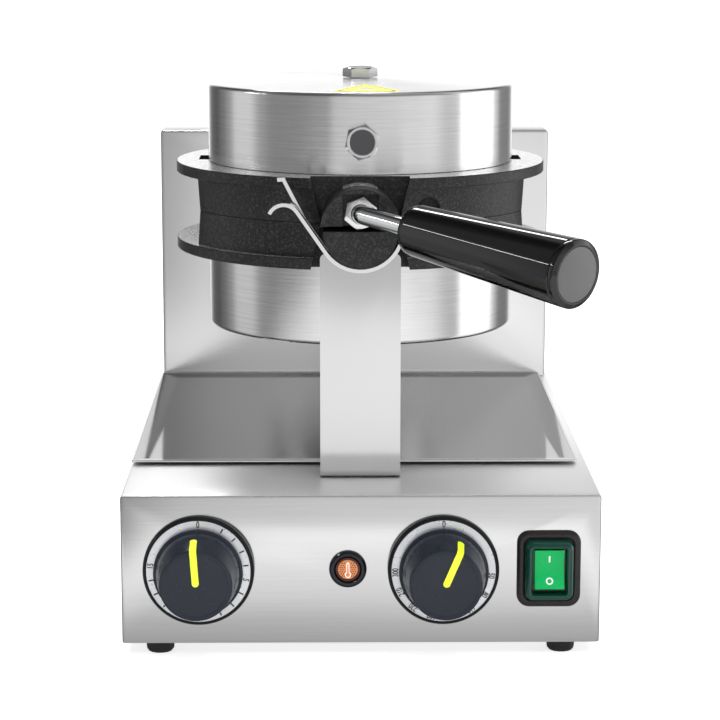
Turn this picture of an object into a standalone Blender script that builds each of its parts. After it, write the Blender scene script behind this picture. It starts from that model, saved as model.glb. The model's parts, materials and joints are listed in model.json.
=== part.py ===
"""A rotary waffle cone maker: two hinged round irons that turn over on a shaft, above a steel base.

Frame: metres, +Z up, the controls face -Y. The origin is at the bottom centre of the whole
machine's box, so z = 0 is the worktop. Heights and depths below are driving dimensions, and
everything else is worked out from them. Touching pieces keep a gap of 0.3 mm.
"""

import math

import bmesh
import bpy
from mathutils import Vector

MM = 0.001
GAP = 0.3 * MM
RIGHT_ANGLE = math.radians(90)

# Base and column, folded from steel sheet
SHEET = 1.5 * MM
FOLD_RADIUS = 2.0 * MM
FOOT_HEIGHT = 8.2 * MM
BASE_WIDTH = 250 * MM
BASE_DEPTH = 403 * MM
BASE_HEIGHT = 79.4 * MM
COLUMN_WIDTH = 246 * MM
COLUMN_DEPTH = 85 * MM
COLUMN_HEIGHT = 159.2 * MM
DECK = FOOT_HEIGHT + BASE_HEIGHT
FOOT_X = 106 * MM
FOOT_INSET = 15 * MM

# Head: the two irons. Sizes are measured from the head's centre, on the parting plane
HEAD_ABOVE_DECK = 134.9 * MM
HEAD_FROM_FRONT = 148 * MM
DISC_X = 1.2 * MM
PARTING_GAP = 0.15 * MM
BODY_RADIUS = 98.8 * MM
BODY_HEIGHT = 18.3 * MM
BODY_FLAT_X = 89.5 * MM
BODY_DRAFT = math.radians(4)
FLANGE_RADIUS = 103.5 * MM
FLANGE_TOP = 24.3 * MM
RECESS_RADIUS = 78 * MM
RECESS_FLOOR = 12 * MM
CAVITY_RADIUS = 78 * MM
CAVITY_DEPTH = 1.5 * MM
COVER_RADIUS = 85.6 * MM
COVER_TOP = 67.9 * MM
COVER_DOME = 2.2 * MM
COVER_EDGE = 3 * MM
COVER_SHEET = 1.2 * MM
BOLT_ACROSS_FLATS = 17 * MM
BOLT_HEAD = 5.4 * MM
SIDE_BOLT_HEIGHT = 42.2 * MM
NOTCH_TOP_HALF = 26.5 * MM
NOTCH_PARTING_HALF = 20.5 * MM
NOTCH_BACK = 89.5 * MM

# Hinge behind the irons, and the shaft that the head turns on
HINGE_Y = 114 * MM
HINGE_LIFT = 0.6 * MM
KNUCKLE_RADIUS = 8 * MM
PIN_RADIUS = 3 * MM
SHAFT_RADIUS = 8 * MM
SHAFT_BORE = 4 * MM
SHAFT_END = 200 * MM
RUNNING_GAP = 0.3 * MM
STOP_PIN_RADIUS = 2.5 * MM
STOP_PIN_OFFSET = 16 * MM

# Front journal, its bracket and the spring latch
LOWER_JOURNAL_RADIUS = 19.5 * MM
LOWER_JOURNAL_DROP = 1.2 * MM
UPPER_JOURNAL_RADIUS = 21 * MM
JOURNAL_ROOT = 84 * MM
LOWER_JOURNAL_FRONT = 122 * MM
UPPER_JOURNAL_FRONT = 119.5 * MM
JOURNAL_LIFT = 1.2 * MM
BRACKET_FROM_FRONT = 36.6 * MM
BRACKET_SHEET = 2 * MM
BRACKET_WIDTH = 42.5 * MM
BRACKET_CUT_RADIUS = 23.25 * MM
BRACKET_TOP = 14 * MM
BRACKET_FOOT = 25 * MM
BRACKET_SCREW = 15 * MM
LATCH_SHEET = 1.9 * MM
LATCH_RADIUS = 22 * MM
LATCH_FRONT = 121 * MM
LATCH_BACK = 98.2 * MM
LATCH_SLOT = 1.0 * MM

# Handle
ROD_RADIUS = 4.85 * MM
ROD_HEIGHT = 8.1 * MM
ROD_CORNER = 124 * MM
HANDLE_TURN = math.radians(42.2)
HANDLE_DROP = math.radians(5.4)
GRIP_START = 39.6 * MM
GRIP_LENGTH = 107.4 * MM
GRIP_NEAR_RADIUS = 13.2 * MM
GRIP_FAR_RADIUS = 17 * MM
END_CAP_LENGTH = 3.7 * MM
END_CAP_EDGE = 2 * MM

# Controls on the base's front wall
CONTROL_HEIGHT = FOOT_HEIGHT + 40 * MM
TIMER_X = -84.5 * MM
THERMOSTAT_X = 42.8 * MM
LAMP_X = -6.9 * MM
SWITCH_X = 97.8 * MM
TIMER_REST = math.radians(4)
THERMOSTAT_REST = math.radians(-23)
DIAL_RADIUS = 29 * MM
DIAL_THICKNESS = 5.5 * MM
KNOB_RADIUS = 23.3 * MM
KNOB_FACE_RADIUS = 18.5 * MM
KNOB_HEIGHT = 25.9 * MM
KNOB_SKIRT = 4 * MM
KNOB_TAPER = 1.4 * MM
KNOB_LIFT = DIAL_THICKNESS + GAP + 0.6 * MM
CONTROL_SHAFT_RADIUS = 3 * MM
POINTER_WIDTH = 3.4 * MM
POINTER_CLIMB = 0.42
POINTER_DEPTH = 1.2 * MM
SWITCH_WIDTH = 33.3 * MM
SWITCH_HEIGHT = 40.8 * MM
ROCKER_WIDTH = 15.2 * MM
ROCKER_HEIGHT = 21 * MM
ROCKER_TILT = math.radians(8)

# Drip tray
TRAY_X = -2.6 * MM
TRAY_WIDTH = 243 * MM
TRAY_FROM_FRONT = 67.6 * MM
TRAY_LENGTH = 249.4 * MM
TRAY_SLOPE = 9.6 * MM
TRAY_HEIGHT = 1.5 * MM
TRAY_SHEET = 1.0 * MM

# The origin is midway between the handle's tip and the cable gland's end
GLAND_REACH = 15 * MM
HANDLE_AXIS = Vector((
    math.sin(HANDLE_TURN) * math.cos(HANDLE_DROP),
    -math.cos(HANDLE_TURN) * math.cos(HANDLE_DROP),
    -math.sin(HANDLE_DROP),
))
HANDLE_END = GRIP_START + GRIP_LENGTH + GAP + END_CAP_LENGTH
TIP_SPREAD = math.sqrt(1 - HANDLE_AXIS.y**2)
TIP_FROM_FRONT = (
    HEAD_FROM_FRONT - ROD_CORNER + HANDLE_AXIS.y * HANDLE_END
    - TIP_SPREAD * (GRIP_FAR_RADIUS - END_CAP_EDGE)
)
FRONT_Y = -(TIP_FROM_FRONT + BASE_DEPTH + GLAND_REACH) / 2
HEAD = Vector((0, FRONT_Y + HEAD_FROM_FRONT, DECK + HEAD_ABOVE_DECK))
COLUMN_FRONT = FRONT_Y + BASE_DEPTH - COLUMN_DEPTH
COLUMN_WALL = COLUMN_FRONT - HEAD.y

for leftover in list(bpy.data.objects):
    bpy.data.objects.remove(leftover, do_unlink=True)
PARTS = bpy.data.collections.new("waffle_cone_maker")
CUTTERS = bpy.data.collections.new("cutters")
for group in (PARTS, CUTTERS):
    bpy.context.scene.collection.children.link(group)


# Helpers ---------------------------------------------------------------------------------

def look(name, colour, roughness, metallic=0.0, alpha=1.0):
    """A plain material of one colour."""
    material = bpy.data.materials.new(name)
    material.use_nodes = True
    shader = material.node_tree.nodes["Principled BSDF"]
    shader.inputs["Base Color"].default_value = (*colour, 1)
    shader.inputs["Roughness"].default_value = roughness
    shader.inputs["Metallic"].default_value = metallic
    shader.inputs["Alpha"].default_value = alpha
    return material


def brushed(name):
    return look(name, (0.62, 0.62, 0.61), 0.32, 1.0)


def chrome(name):
    return look(name, (0.78, 0.78, 0.78), 0.12, 1.0)


def casting(name):
    return look(name, (0.03, 0.03, 0.032), 0.6)


def black_plastic(name):
    return look(name, (0.02, 0.02, 0.022), 0.35)


def pivot(name, at, parent=None, turn=(0, 0, 0)):
    """An empty on a joint's axis. What moves with the joint is parented to it."""
    empty = bpy.data.objects.new(name, None)
    empty.location, empty.rotation_euler, empty.parent = at, turn, parent
    PARTS.objects.link(empty)
    return empty


def place(name, data, paint, parent=None, at=(0, 0, 0), turn=(0, 0, 0)):
    """A part, or a cutter when it has no material."""
    obj = bpy.data.objects.new(name, data)
    obj.location, obj.rotation_euler, obj.parent = at, turn, parent
    if paint:
        data.materials.append(paint(name))
        PARTS.objects.link(obj)
    else:
        obj.hide_render = True
        obj.display_type = "WIRE"
        CUTTERS.objects.link(obj)
    return obj


def mesh_from(bm, name):
    mesh = bpy.data.meshes.new(name)
    bm.to_mesh(mesh)
    bm.free()
    return mesh


def block(name, low, high, paint=None, edge=0, **where):
    """A box between two corners, with its edges rounded by edge."""
    low, high = Vector(low), Vector(high)
    bm = bmesh.new()
    bmesh.ops.create_cube(bm, size=1)
    bmesh.ops.scale(bm, vec=high - low, verts=bm.verts)
    bmesh.ops.translate(bm, vec=(low + high) / 2, verts=bm.verts)
    obj = place(name, mesh_from(bm, name), paint, **where)
    if edge:
        soften(obj, edge)
    return obj


def cylinder(name, radius, start, end, paint=None, sides=24, end_radius=None, **where):
    """A cylinder, cone or prism along its own Z, from start to end."""
    bm = bmesh.new()
    bmesh.ops.create_cone(
        bm, cap_ends=True, segments=sides, depth=end - start,
        radius1=radius, radius2=radius if end_radius is None else end_radius,
    )
    bmesh.ops.translate(bm, vec=(0, 0, (start + end) / 2), verts=bm.verts)
    mesh = mesh_from(bm, name)
    if sides > 8:
        mesh.shade_smooth()
        mesh.set_sharp_from_angle(angle=math.radians(35))
    return place(name, mesh, paint, **where)


def turned(name, profile, paint=None, sides=32, **where):
    """A profile of (radius, height) points turned about Z. It runs down its outer side."""
    bm = bmesh.new()
    points = [bm.verts.new((radius, 0, height)) for radius, height in profile]
    for first, second in zip(points, points[1:]):
        bm.edges.new((first, second))
    if profile[0][0] > 0:
        bm.edges.new((points[-1], points[0]))
    obj = place(name, mesh_from(bm, name), paint, **where)
    screw = obj.modifiers.new("turn", "SCREW")
    screw.steps = screw.render_steps = sides
    screw.use_merge_vertices = True
    screw.merge_threshold = 0.00001
    screw.use_smooth_shade = False
    return obj


def slab(name, outline, thickness, paint=None, **where):
    """A flat outline in XY, made as thick as thickness about its own plane."""
    curve = bpy.data.curves.new(name, "CURVE")
    curve.dimensions, curve.fill_mode, curve.extrude = "2D", "BOTH", thickness / 2
    spline = curve.splines.new("POLY")
    spline.points.add(len(outline) - 1)
    for point, (x, y) in zip(spline.points, outline):
        point.co = (x, y, 0, 1)
    spline.use_cyclic_u = True
    flat = bpy.data.objects.new(name + "_outline", curve)
    CUTTERS.objects.link(flat)
    graph = bpy.context.evaluated_depsgraph_get()
    mesh = bpy.data.meshes.new_from_object(flat.evaluated_get(graph))
    bpy.data.objects.remove(flat, do_unlink=True)
    bm = bmesh.new()
    bm.from_mesh(mesh)
    bmesh.ops.remove_doubles(bm, verts=bm.verts, dist=0.00001)
    bmesh.ops.recalc_face_normals(bm, faces=bm.faces)
    bm.to_mesh(mesh)
    bm.free()
    return place(name, mesh, paint, **where)


def tube(name, route, radius, paint, **where):
    """A round bar along a route of points."""
    curve = bpy.data.curves.new(name, "CURVE")
    curve.dimensions = "3D"
    curve.bevel_depth, curve.bevel_resolution, curve.use_fill_caps = radius, 2, True
    spline = curve.splines.new("POLY")
    spline.points.add(len(route) - 1)
    for point, place_at in zip(spline.points, route):
        point.co = (*place_at, 1)
    return place(name, curve, paint, **where)


def arc(centre, radius, start, end, steps):
    """Points round an arc, its angles in degrees."""
    angles = [math.radians(start + (end - start) * step / steps) for step in range(steps + 1)]
    return [
        (centre[0] + radius * math.cos(angle), centre[1] + radius * math.sin(angle))
        for angle in angles
    ]


def soften(obj, width, segments=1):
    bevel = obj.modifiers.new("soft edges", "BEVEL")
    bevel.width, bevel.segments = width, segments
    bevel.limit_method, bevel.angle_limit = "ANGLE", math.radians(35)


def thicken(obj, thickness, offset=-1.0):
    solid = obj.modifiers.new("sheet", "SOLIDIFY")
    solid.thickness, solid.offset = thickness, offset
    solid.use_even_offset = True
    solid.use_quality_normals = True


def boolean(obj, other, operation):
    modifier = obj.modifiers.new(other.name, "BOOLEAN")
    modifier.object, modifier.operation, modifier.solver = other, operation, "EXACT"


def cut(obj, *cutters):
    for cutter in cutters:
        boolean(obj, cutter, "DIFFERENCE")


def unite(obj, *others):
    for other in others:
        boolean(obj, other, "UNION")


def sheet_box(name, low, high, open_side, paint, **where):
    """A box folded from sheet, open on the side whose normal is open_side."""
    low, high = Vector(low), Vector(high)
    bm = bmesh.new()
    bmesh.ops.create_cube(bm, size=1)
    bmesh.ops.scale(bm, vec=high - low, verts=bm.verts)
    bmesh.ops.translate(bm, vec=(low + high) / 2, verts=bm.verts)
    bm.normal_update()
    opened = [face for face in bm.faces if face.normal.dot(Vector(open_side)) > 0.9]
    bmesh.ops.delete(bm, geom=opened, context="FACES")
    folds = [edge for edge in bm.edges if len(edge.link_faces) == 2]
    bmesh.ops.bevel(
        bm, geom=folds, offset=FOLD_RADIUS, segments=2, profile=0.5, affect="EDGES",
        clamp_overlap=True,
    )
    obj = place(name, mesh_from(bm, name), paint, **where)
    thicken(obj, SHEET)
    return obj


def hexagon(name, across_flats, start, end, paint, sides=24, **where):
    """A hexagonal head or nut along Z, its outer corners turned off at 30 degrees."""
    corner = across_flats / math.sqrt(3)
    head = cylinder(name, corner, start, end, paint, sides=6, **where)
    rise = corner * math.tan(math.radians(30))
    flat = across_flats / 2 * 0.95
    lathe_cut = turned(
        name + "_chamfer",
        [(0, end + GAP / 10), (flat, end + GAP / 10), (flat + corner / 2, end - rise / 2),
         (flat + corner / 2, start - MM), (0, start - MM)],
        sides=sides, **where,
    )
    boolean(head, lathe_cut, "INTERSECT")
    return head


def bolt(name, across_flats, height, shank_radius, shank_length, **where):
    """A hexagon-head bolt. Its head starts at z = 0 and its shank runs down from there."""
    head = hexagon(name, across_flats, 0, height, chrome, **where)
    unite(head, cylinder(name + "_shank", shank_radius, -shank_length, height / 2, **where))
    return head


# Base ------------------------------------------------------------------------------------

def base():
    half = BASE_WIDTH / 2
    housing = sheet_box(
        "base_housing", (-half, FRONT_Y, FOOT_HEIGHT), (half, FRONT_Y + BASE_DEPTH, DECK),
        (0, 0, -1), brushed,
    )
    deep = {"start": -10 * MM, "end": 10 * MM, "turn": (RIGHT_ANGLE, 0, 0)}
    for label, x, radius in (
        ("timer", TIMER_X, 5 * MM), ("thermostat", THERMOSTAT_X, 5 * MM), ("lamp", LAMP_X, 8 * MM),
    ):
        cut(housing, cylinder(
            f"{label}_hole", radius, at=(x, FRONT_Y, CONTROL_HEIGHT), sides=20, **deep
        ))
    cut(housing, block(
        "switch_hole", (-12.5 * MM, -10 * MM, -15.5 * MM), (12.5 * MM, 10 * MM, 15.5 * MM),
        at=(SWITCH_X, FRONT_Y, CONTROL_HEIGHT),
    ))
    cut(housing, block(
        "wire_hole", (-60 * MM, 20 * MM, DECK - 10 * MM), (60 * MM, 65 * MM, DECK + 10 * MM),
        at=(0, COLUMN_FRONT, 0),
    ))
    gland_at = (70 * MM, FRONT_Y + BASE_DEPTH, FOOT_HEIGHT + 30 * MM)
    cut(housing, cylinder("gland_hole", 6.4 * MM, at=gland_at, sides=20, **deep))
    for side in (-1, 1):
        cut(housing, cylinder(
            f"bracket_hole_{side}", 2.4 * MM, DECK - 8 * MM, DECK + 8 * MM, sides=12,
            at=(side * 11 * MM, FRONT_Y + BRACKET_FROM_FRONT + BRACKET_SCREW, 0),
        ))

    inset = SHEET + GAP
    plate = block(
        "bottom_plate", (-half + inset, FRONT_Y + inset, FOOT_HEIGHT + GAP),
        (half - inset, FRONT_Y + BASE_DEPTH - inset, FOOT_HEIGHT + GAP + SHEET),
        lambda name: look(name, (0.55, 0.55, 0.55), 0.4, 1.0),
    )
    stud = 2.5 * MM
    for front in (True, False):
        y = FRONT_Y + (FOOT_INSET if front else BASE_DEPTH - FOOT_INSET)
        for side in (-1, 1):
            name = f"foot_{'front' if front else 'rear'}_{'left' if side < 0 else 'right'}"
            turned(
                name,
                [(0, FOOT_HEIGHT + 7 * MM), (stud, FOOT_HEIGHT + 7 * MM), (stud, FOOT_HEIGHT),
                 (7.8 * MM, FOOT_HEIGHT), (7.2 * MM, 1.2 * MM), (6.2 * MM, 0), (0, 0)],
                lambda foot: look(foot, (0.015, 0.015, 0.015), 0.8), sides=14, at=(side * FOOT_X, y, 0),
            )
            cut(plate, cylinder(
                name + "_hole", stud + GAP, FOOT_HEIGHT - MM, FOOT_HEIGHT + 4 * MM, sides=12,
                at=(side * FOOT_X, y, 0),
            ))


def column():
    half, back = COLUMN_WIDTH / 2, COLUMN_DEPTH
    foot, top = DECK + GAP, DECK + COLUMN_HEIGHT
    shell = sheet_box(
        "rear_column", (-half, 0, foot), (half, back, top), (0, 0, -1), brushed,
        at=(0, COLUMN_FRONT, 0),
    )
    lip = 14 * MM
    cut(
        shell,
        cylinder("bearing_hole", 11 * MM, -9 * MM, 9 * MM, sides=24,
                 at=(0, COLUMN_FRONT, HEAD.z), turn=(RIGHT_ANGLE, 0, 0)),
        block("service_opening", (-half + lip, back - 6 * MM, foot + lip),
              (half - lip, back + 6 * MM, top - lip), at=(0, COLUMN_FRONT, 0)),
    )
    margin = 5 * MM
    cover = block(
        "rear_cover", (-half + margin, back + GAP, foot + margin),
        (half - margin, back + GAP + SHEET, top - margin), brushed, at=(0, COLUMN_FRONT, 0),
    )
    for side in (-1, 1):
        for level, z in (("lower", foot + 9.5 * MM), ("upper", top - 9.5 * MM)):
            name = f"cover_screw_{level}_{'left' if side < 0 else 'right'}"
            where = {"at": (side * (half - 9.5 * MM), COLUMN_FRONT + back, z),
                     "turn": (-RIGHT_ANGLE, 0, 0)}
            screw_out = GAP + SHEET + GAP
            turned(
                name,
                [(0, screw_out + 1.9 * MM), (2.2 * MM, screw_out + 1.7 * MM),
                 (3.6 * MM, screw_out + 0.6 * MM), (3.6 * MM, screw_out),
                 (1.6 * MM, screw_out), (1.6 * MM, -7 * MM), (0, -7 * MM)],
                chrome, sides=10, **where,
            )
            hole = cylinder(name + "_hole", 1.9 * MM, -10 * MM, 10 * MM, sides=12, **where)
            cut(cover, hole)
            cut(shell, hole)


def wiring():
    """Terminal block, cable gland and the loom that goes up to the shaft."""
    block(
        "terminal_block", (-22 * MM, -9 * MM, 0), (22 * MM, 9 * MM, 17 * MM), black_plastic,
        edge=1 * MM, at=(20 * MM, FRONT_Y + 330 * MM, FOOT_HEIGHT + SHEET + 2 * GAP),
    )
    wall = SHEET + GAP
    turned(
        "cable_gland",
        [(3.6 * MM, GLAND_REACH), (5.5 * MM, GLAND_REACH), (8 * MM, 10 * MM),
         (9.5 * MM, 8 * MM), (9.5 * MM, GAP), (6 * MM, GAP), (6 * MM, -wall),
         (9 * MM, -wall), (9 * MM, -wall - 5 * MM), (3.6 * MM, -wall - 5 * MM)],
        black_plastic, sides=16, turn=(-RIGHT_ANGLE, 0, 0),
        at=(70 * MM, FRONT_Y + BASE_DEPTH, FOOT_HEIGHT + 30 * MM),
    )
    start = Vector((20 * MM, FRONT_Y + 330 * MM, FOOT_HEIGHT + 22 * MM))
    middle = Vector((6 * MM, COLUMN_FRONT + 56 * MM, DECK))
    end = Vector((0, HEAD.y + SHAFT_END + 12 * MM, HEAD.z - 12 * MM))
    route = []
    for step in range(15):
        along = step / 14
        route.append(
            (1 - along) ** 2 * start + 2 * along * (1 - along) * middle + along**2 * end
        )
    tube("wire_loom", route, 3.5 * MM, lambda name: look(name, (0.6, 0.58, 0.52), 0.7))


# Controls --------------------------------------------------------------------------------

def control(label, x, rest, body_half):
    """A dial on the front wall, the switch gear behind it, and its turning knob and shaft."""
    frame = {"at": (x, FRONT_Y, CONTROL_HEIGHT), "turn": (RIGHT_ANGLE, 0, 0)}
    hole = CONTROL_SHAFT_RADIUS + 0.6 * MM
    turned(
        f"{label}_dial",
        [(hole, DIAL_THICKNESS), (DIAL_RADIUS - 1.4 * MM, DIAL_THICKNESS),
         (DIAL_RADIUS - 0.4 * MM, DIAL_THICKNESS - 0.4 * MM),
         (DIAL_RADIUS, DIAL_THICKNESS - 1.2 * MM), (DIAL_RADIUS, GAP), (hole, GAP)],
        lambda name: look(name, (0.7, 0.7, 0.7), 0.35, 1.0), sides=36, **frame,
    )
    gear = block(
        f"{label}_body", (-body_half, -body_half, -SHEET - GAP - 30 * MM),
        (body_half, body_half, -SHEET - GAP), black_plastic, edge=2 * MM, **frame,
    )
    shaft_back = -SHEET - 14 * MM
    cut(gear, cylinder(f"{label}_socket", hole, shaft_back - MM, 0, sides=16, **frame))

    axis = pivot(f"{label}_axis", frame["at"], turn=(RIGHT_ANGLE, 0, 0))
    spindle = pivot(f"{label}_rest_angle", (0, 0, 0), parent=axis, turn=(0, 0, rest))
    foot, top = KNOB_LIFT, KNOB_LIFT + KNOB_HEIGHT
    knob = turned(
        f"{label}_knob",
        [(0, top), (KNOB_FACE_RADIUS - 2 * MM, top), (KNOB_FACE_RADIUS - 0.6 * MM, top - 0.6 * MM),
         (KNOB_FACE_RADIUS, top - 2 * MM), (KNOB_RADIUS - KNOB_TAPER, foot + KNOB_SKIRT),
         (KNOB_RADIUS, foot + 2.4 * MM), (KNOB_RADIUS, foot), (0, foot)],
        lambda name: look(name, (0.03, 0.035, 0.045), 0.4), sides=36, parent=spindle,
    )
    socket_depth = foot + 18 * MM
    cut(knob, cylinder(
        f"{label}_knob_bore", CONTROL_SHAFT_RADIUS + GAP, foot - MM, socket_depth, sides=16,
        parent=spindle,
    ))
    cylinder(
        f"{label}_shaft", CONTROL_SHAFT_RADIUS, shaft_back, socket_depth - GAP, chrome,
        sides=16, parent=spindle,
    )
    pointer(label, knob, spindle, foot, top)


def pointer(label, knob, spindle, foot, top):
    """A bright strip let into a groove over the knob's face and down its side."""
    reach = KNOB_FACE_RADIUS + 0.2 * MM
    low, high = foot + KNOB_SKIRT, top - 2 * MM
    skirt = KNOB_RADIUS - KNOB_TAPER + 0.2 * MM
    lower = (skirt - POINTER_CLIMB * (skirt - reach), low + POINTER_CLIMB * (high - low))
    proud = 0.4 * MM

    def outline(inner, outer, ends):
        return [
            (-MM - ends, top + outer), (reach + outer - MM, top + outer), (reach + outer, top - MM),
            (lower[0] + outer, lower[1] - ends), (lower[0] + inner, lower[1] - ends),
            (reach + inner - 0.5 * MM, top - 2 * MM), (reach + inner - 2 * MM, top + inner),
            (-MM - ends, top + inner),
        ]

    where = {"parent": spindle, "turn": (RIGHT_ANGLE, 0, RIGHT_ANGLE)}
    inner = proud - POINTER_DEPTH
    strip = outline(inner, proud, 0)
    groove = outline(inner - 0.3 * MM, 2 * MM, 0.3 * MM)
    slab(f"{label}_pointer", strip, POINTER_WIDTH,
         lambda name: look(name, (0.8, 0.95, 0.05), 0.5), **where)
    cut(knob, slab(f"{label}_groove", groove, POINTER_WIDTH + 0.5 * MM, **where))


def lamp():
    frame = {"at": (LAMP_X, FRONT_Y, CONTROL_HEIGHT), "turn": (RIGHT_ANGLE, 0, 0)}
    turned(
        "lamp_bezel",
        [(7.2 * MM, 2.6 * MM), (9 * MM, 2.6 * MM), (9.8 * MM, 1.8 * MM), (9.8 * MM, GAP),
         (7.7 * MM, GAP), (7.7 * MM, -22 * MM), (5.4 * MM, -22 * MM), (5.4 * MM, 0), (7.2 * MM, 0)],
        black_plastic, sides=20, **frame,
    )
    turned(
        "lamp_lens",
        [(0, 3.2 * MM), (3.5 * MM, 2.9 * MM), (5.8 * MM, 2.2 * MM), (6.9 * MM, 1.2 * MM),
         (6.9 * MM, GAP), (0, GAP)],
        lambda name: look(name, (0.35, 0.09, 0.02), 0.2, 0.0, 0.9), sides=20, **frame,
    )


def switch():
    frame = {"at": (SWITCH_X, FRONT_Y, CONTROL_HEIGHT), "turn": (RIGHT_ANGLE, 0, 0)}
    half_w, half_h, corner = SWITCH_WIDTH / 2, SWITCH_HEIGHT / 2, 4 * MM
    outline = []
    for x, y, start in ((1, 1, 0), (-1, 1, 90), (-1, -1, 180), (1, -1, 270)):
        centre = (x * (half_w - corner), y * (half_h - corner))
        outline += arc(centre, corner, start, start + 90, 4)
    bezel = 3 * MM
    surround = slab("switch_frame", outline, bezel - GAP, black_plastic,
                    at=(SWITCH_X, FRONT_Y - (bezel + GAP) / 2, CONTROL_HEIGHT),
                    turn=(RIGHT_ANGLE, 0, 0))
    body = block("switch_body", (-12 * MM, -15 * MM, -24 * MM), (12 * MM, 15 * MM, 2 * MM), **frame)
    unite(surround, body)
    pocket_w, pocket_h = ROCKER_WIDTH / 2 + 0.6 * MM, ROCKER_HEIGHT / 2 + 0.8 * MM
    cut(surround, block("rocker_pocket", (-pocket_w, -pocket_h, -9 * MM),
                        (pocket_w, pocket_h, 10 * MM), **frame))

    boot_w, boot_h = 12.75 * MM, 16 * MM
    boot_low, boot_high = bezel + GAP, 11 * MM
    boot = sheet_box("switch_boot", (-boot_w, -boot_h, boot_low), (boot_w, boot_h, boot_high),
                     (0, 0, -1), lambda name: look(name, (0.1, 0.25, 0.18), 0.15, 0.0, 0.35),
                     **frame)
    boot.modifiers["sheet"].thickness = 1.0 * MM

    axis = pivot("switch_axis", frame["at"], turn=(RIGHT_ANGLE, 0, 0))
    pressed = pivot("switch_on", (0, 0, 0), parent=axis, turn=(-ROCKER_TILT, 0, 0))
    half_height = ROCKER_HEIGHT / 2
    side = (
        arc((0, 26 * MM), 21.5 * MM, 298, 242, 6)
        + [(-half_height + 1.2 * MM, -1 * MM), (0, -5 * MM), (half_height - 1.2 * MM, -1 * MM)]
    )
    slab("switch_rocker", side, ROCKER_WIDTH, lambda name: look(name, (0.01, 0.45, 0.12), 0.25),
         parent=pressed, turn=(RIGHT_ANGLE, 0, RIGHT_ANGLE))


# Head ------------------------------------------------------------------------------------

def prism(name, outline, low, high, paint=None, **where):
    """An outline in XZ, extruded along Y from low to high."""
    return slab(name, outline, high - low, paint, at=(0, (low + high) / 2, 0),
                turn=(RIGHT_ANGLE, 0, 0), **where)


def half_disc(radius, centre=0):
    """The part of a disc that lies clear of the parting plane. Its centre is that far from it."""
    lift = math.degrees(math.asin((JOURNAL_LIFT - centre) / radius))
    return arc((0, centre), radius, lift, 180 - lift, 18)


def along_y(start, end):
    """A cylinder's keywords for an axis that runs towards the front."""
    return {"start": start, "end": end, "turn": (RIGHT_ANGLE, 0, 0)}


def along_x(start, end):
    return {"start": start, "end": end, "turn": (0, RIGHT_ANGLE, 0)}


def iron(label, frame, disc, journal, journal_front):
    """One iron's casting, drawn as the upper one. The lower one's frame is turned half round Y.

    The round plate belongs to disc, whose centre is a little to one side of the frame's.
    """
    rim = 0.4 * MM
    plate = turned(
        f"{label}_plate",
        [(0, RECESS_FLOOR), (RECESS_RADIUS, RECESS_FLOOR), (RECESS_RADIUS, FLANGE_TOP),
         (FLANGE_RADIUS - rim, FLANGE_TOP), (FLANGE_RADIUS, FLANGE_TOP - rim),
         (FLANGE_RADIUS, BODY_HEIGHT + rim), (FLANGE_RADIUS - rim, BODY_HEIGHT),
         (BODY_RADIUS + 0.4 * MM, BODY_HEIGHT), (BODY_RADIUS - 0.4 * MM, PARTING_GAP),
         (CAVITY_RADIUS + 1.5 * MM, PARTING_GAP), (CAVITY_RADIUS, PARTING_GAP + CAVITY_DEPTH),
         (0, PARTING_GAP + CAVITY_DEPTH)],
        casting, sides=56, parent=disc,
    )
    flat_top = BODY_HEIGHT + 0.1 * MM
    lean = flat_top * math.tan(BODY_DRAFT)
    for side in (-1, 1):
        inner, outer = side * BODY_FLAT_X, side * 130 * MM
        cut(plate, prism(
            f"{label}_flat_{'left' if side < 0 else 'right'}",
            [(inner - side * lean, -MM), (outer, -MM), (outer, flat_top), (inner, flat_top)],
            -130 * MM, 130 * MM, parent=disc,
        ))
        cut(plate, block(
            f"{label}_pocket_{'left' if side < 0 else 'right'}",
            (-3 * MM, -6 * MM, -3.5 * MM), (3 * MM, 17 * MM, 5 * MM),
            at=(side * 87.8 * MM, 0, FLANGE_TOP), parent=disc,
        ))
    cut(plate, prism(
        f"{label}_notch",
        [(-NOTCH_PARTING_HALF, -MM), (NOTCH_PARTING_HALF, -MM),
         (NOTCH_TOP_HALF, FLANGE_TOP + MM), (-NOTCH_TOP_HALF, FLANGE_TOP + MM)],
        -130 * MM, -NOTCH_BACK, parent=frame,
    ))
    post_top = COVER_TOP + COVER_DOME - COVER_SHEET - 2 * GAP
    bolt_hole = 5.3 * MM
    unite(
        plate,
        prism(f"{label}_journal", journal, -journal_front, -JOURNAL_ROOT, parent=frame),
        cylinder(f"{label}_post", 9 * MM, RECESS_FLOOR - MM, post_top, parent=disc),
        block(f"{label}_lug", (-10 * MM, -76 * MM, RECESS_FLOOR - MM),
              (10 * MM, -67 * MM, SIDE_BOLT_HEIGHT + 9 * MM), parent=disc),
    )
    cut(
        plate,
        cylinder(f"{label}_post_hole", bolt_hole, post_top - 32 * MM, post_top + MM, sides=16,
                 parent=disc),
        cylinder(f"{label}_lug_hole", bolt_hole, at=(0, 0, SIDE_BOLT_HEIGHT), parent=disc,
                 sides=16, **along_y(60 * MM, 80 * MM)),
    )
    return plate


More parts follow.
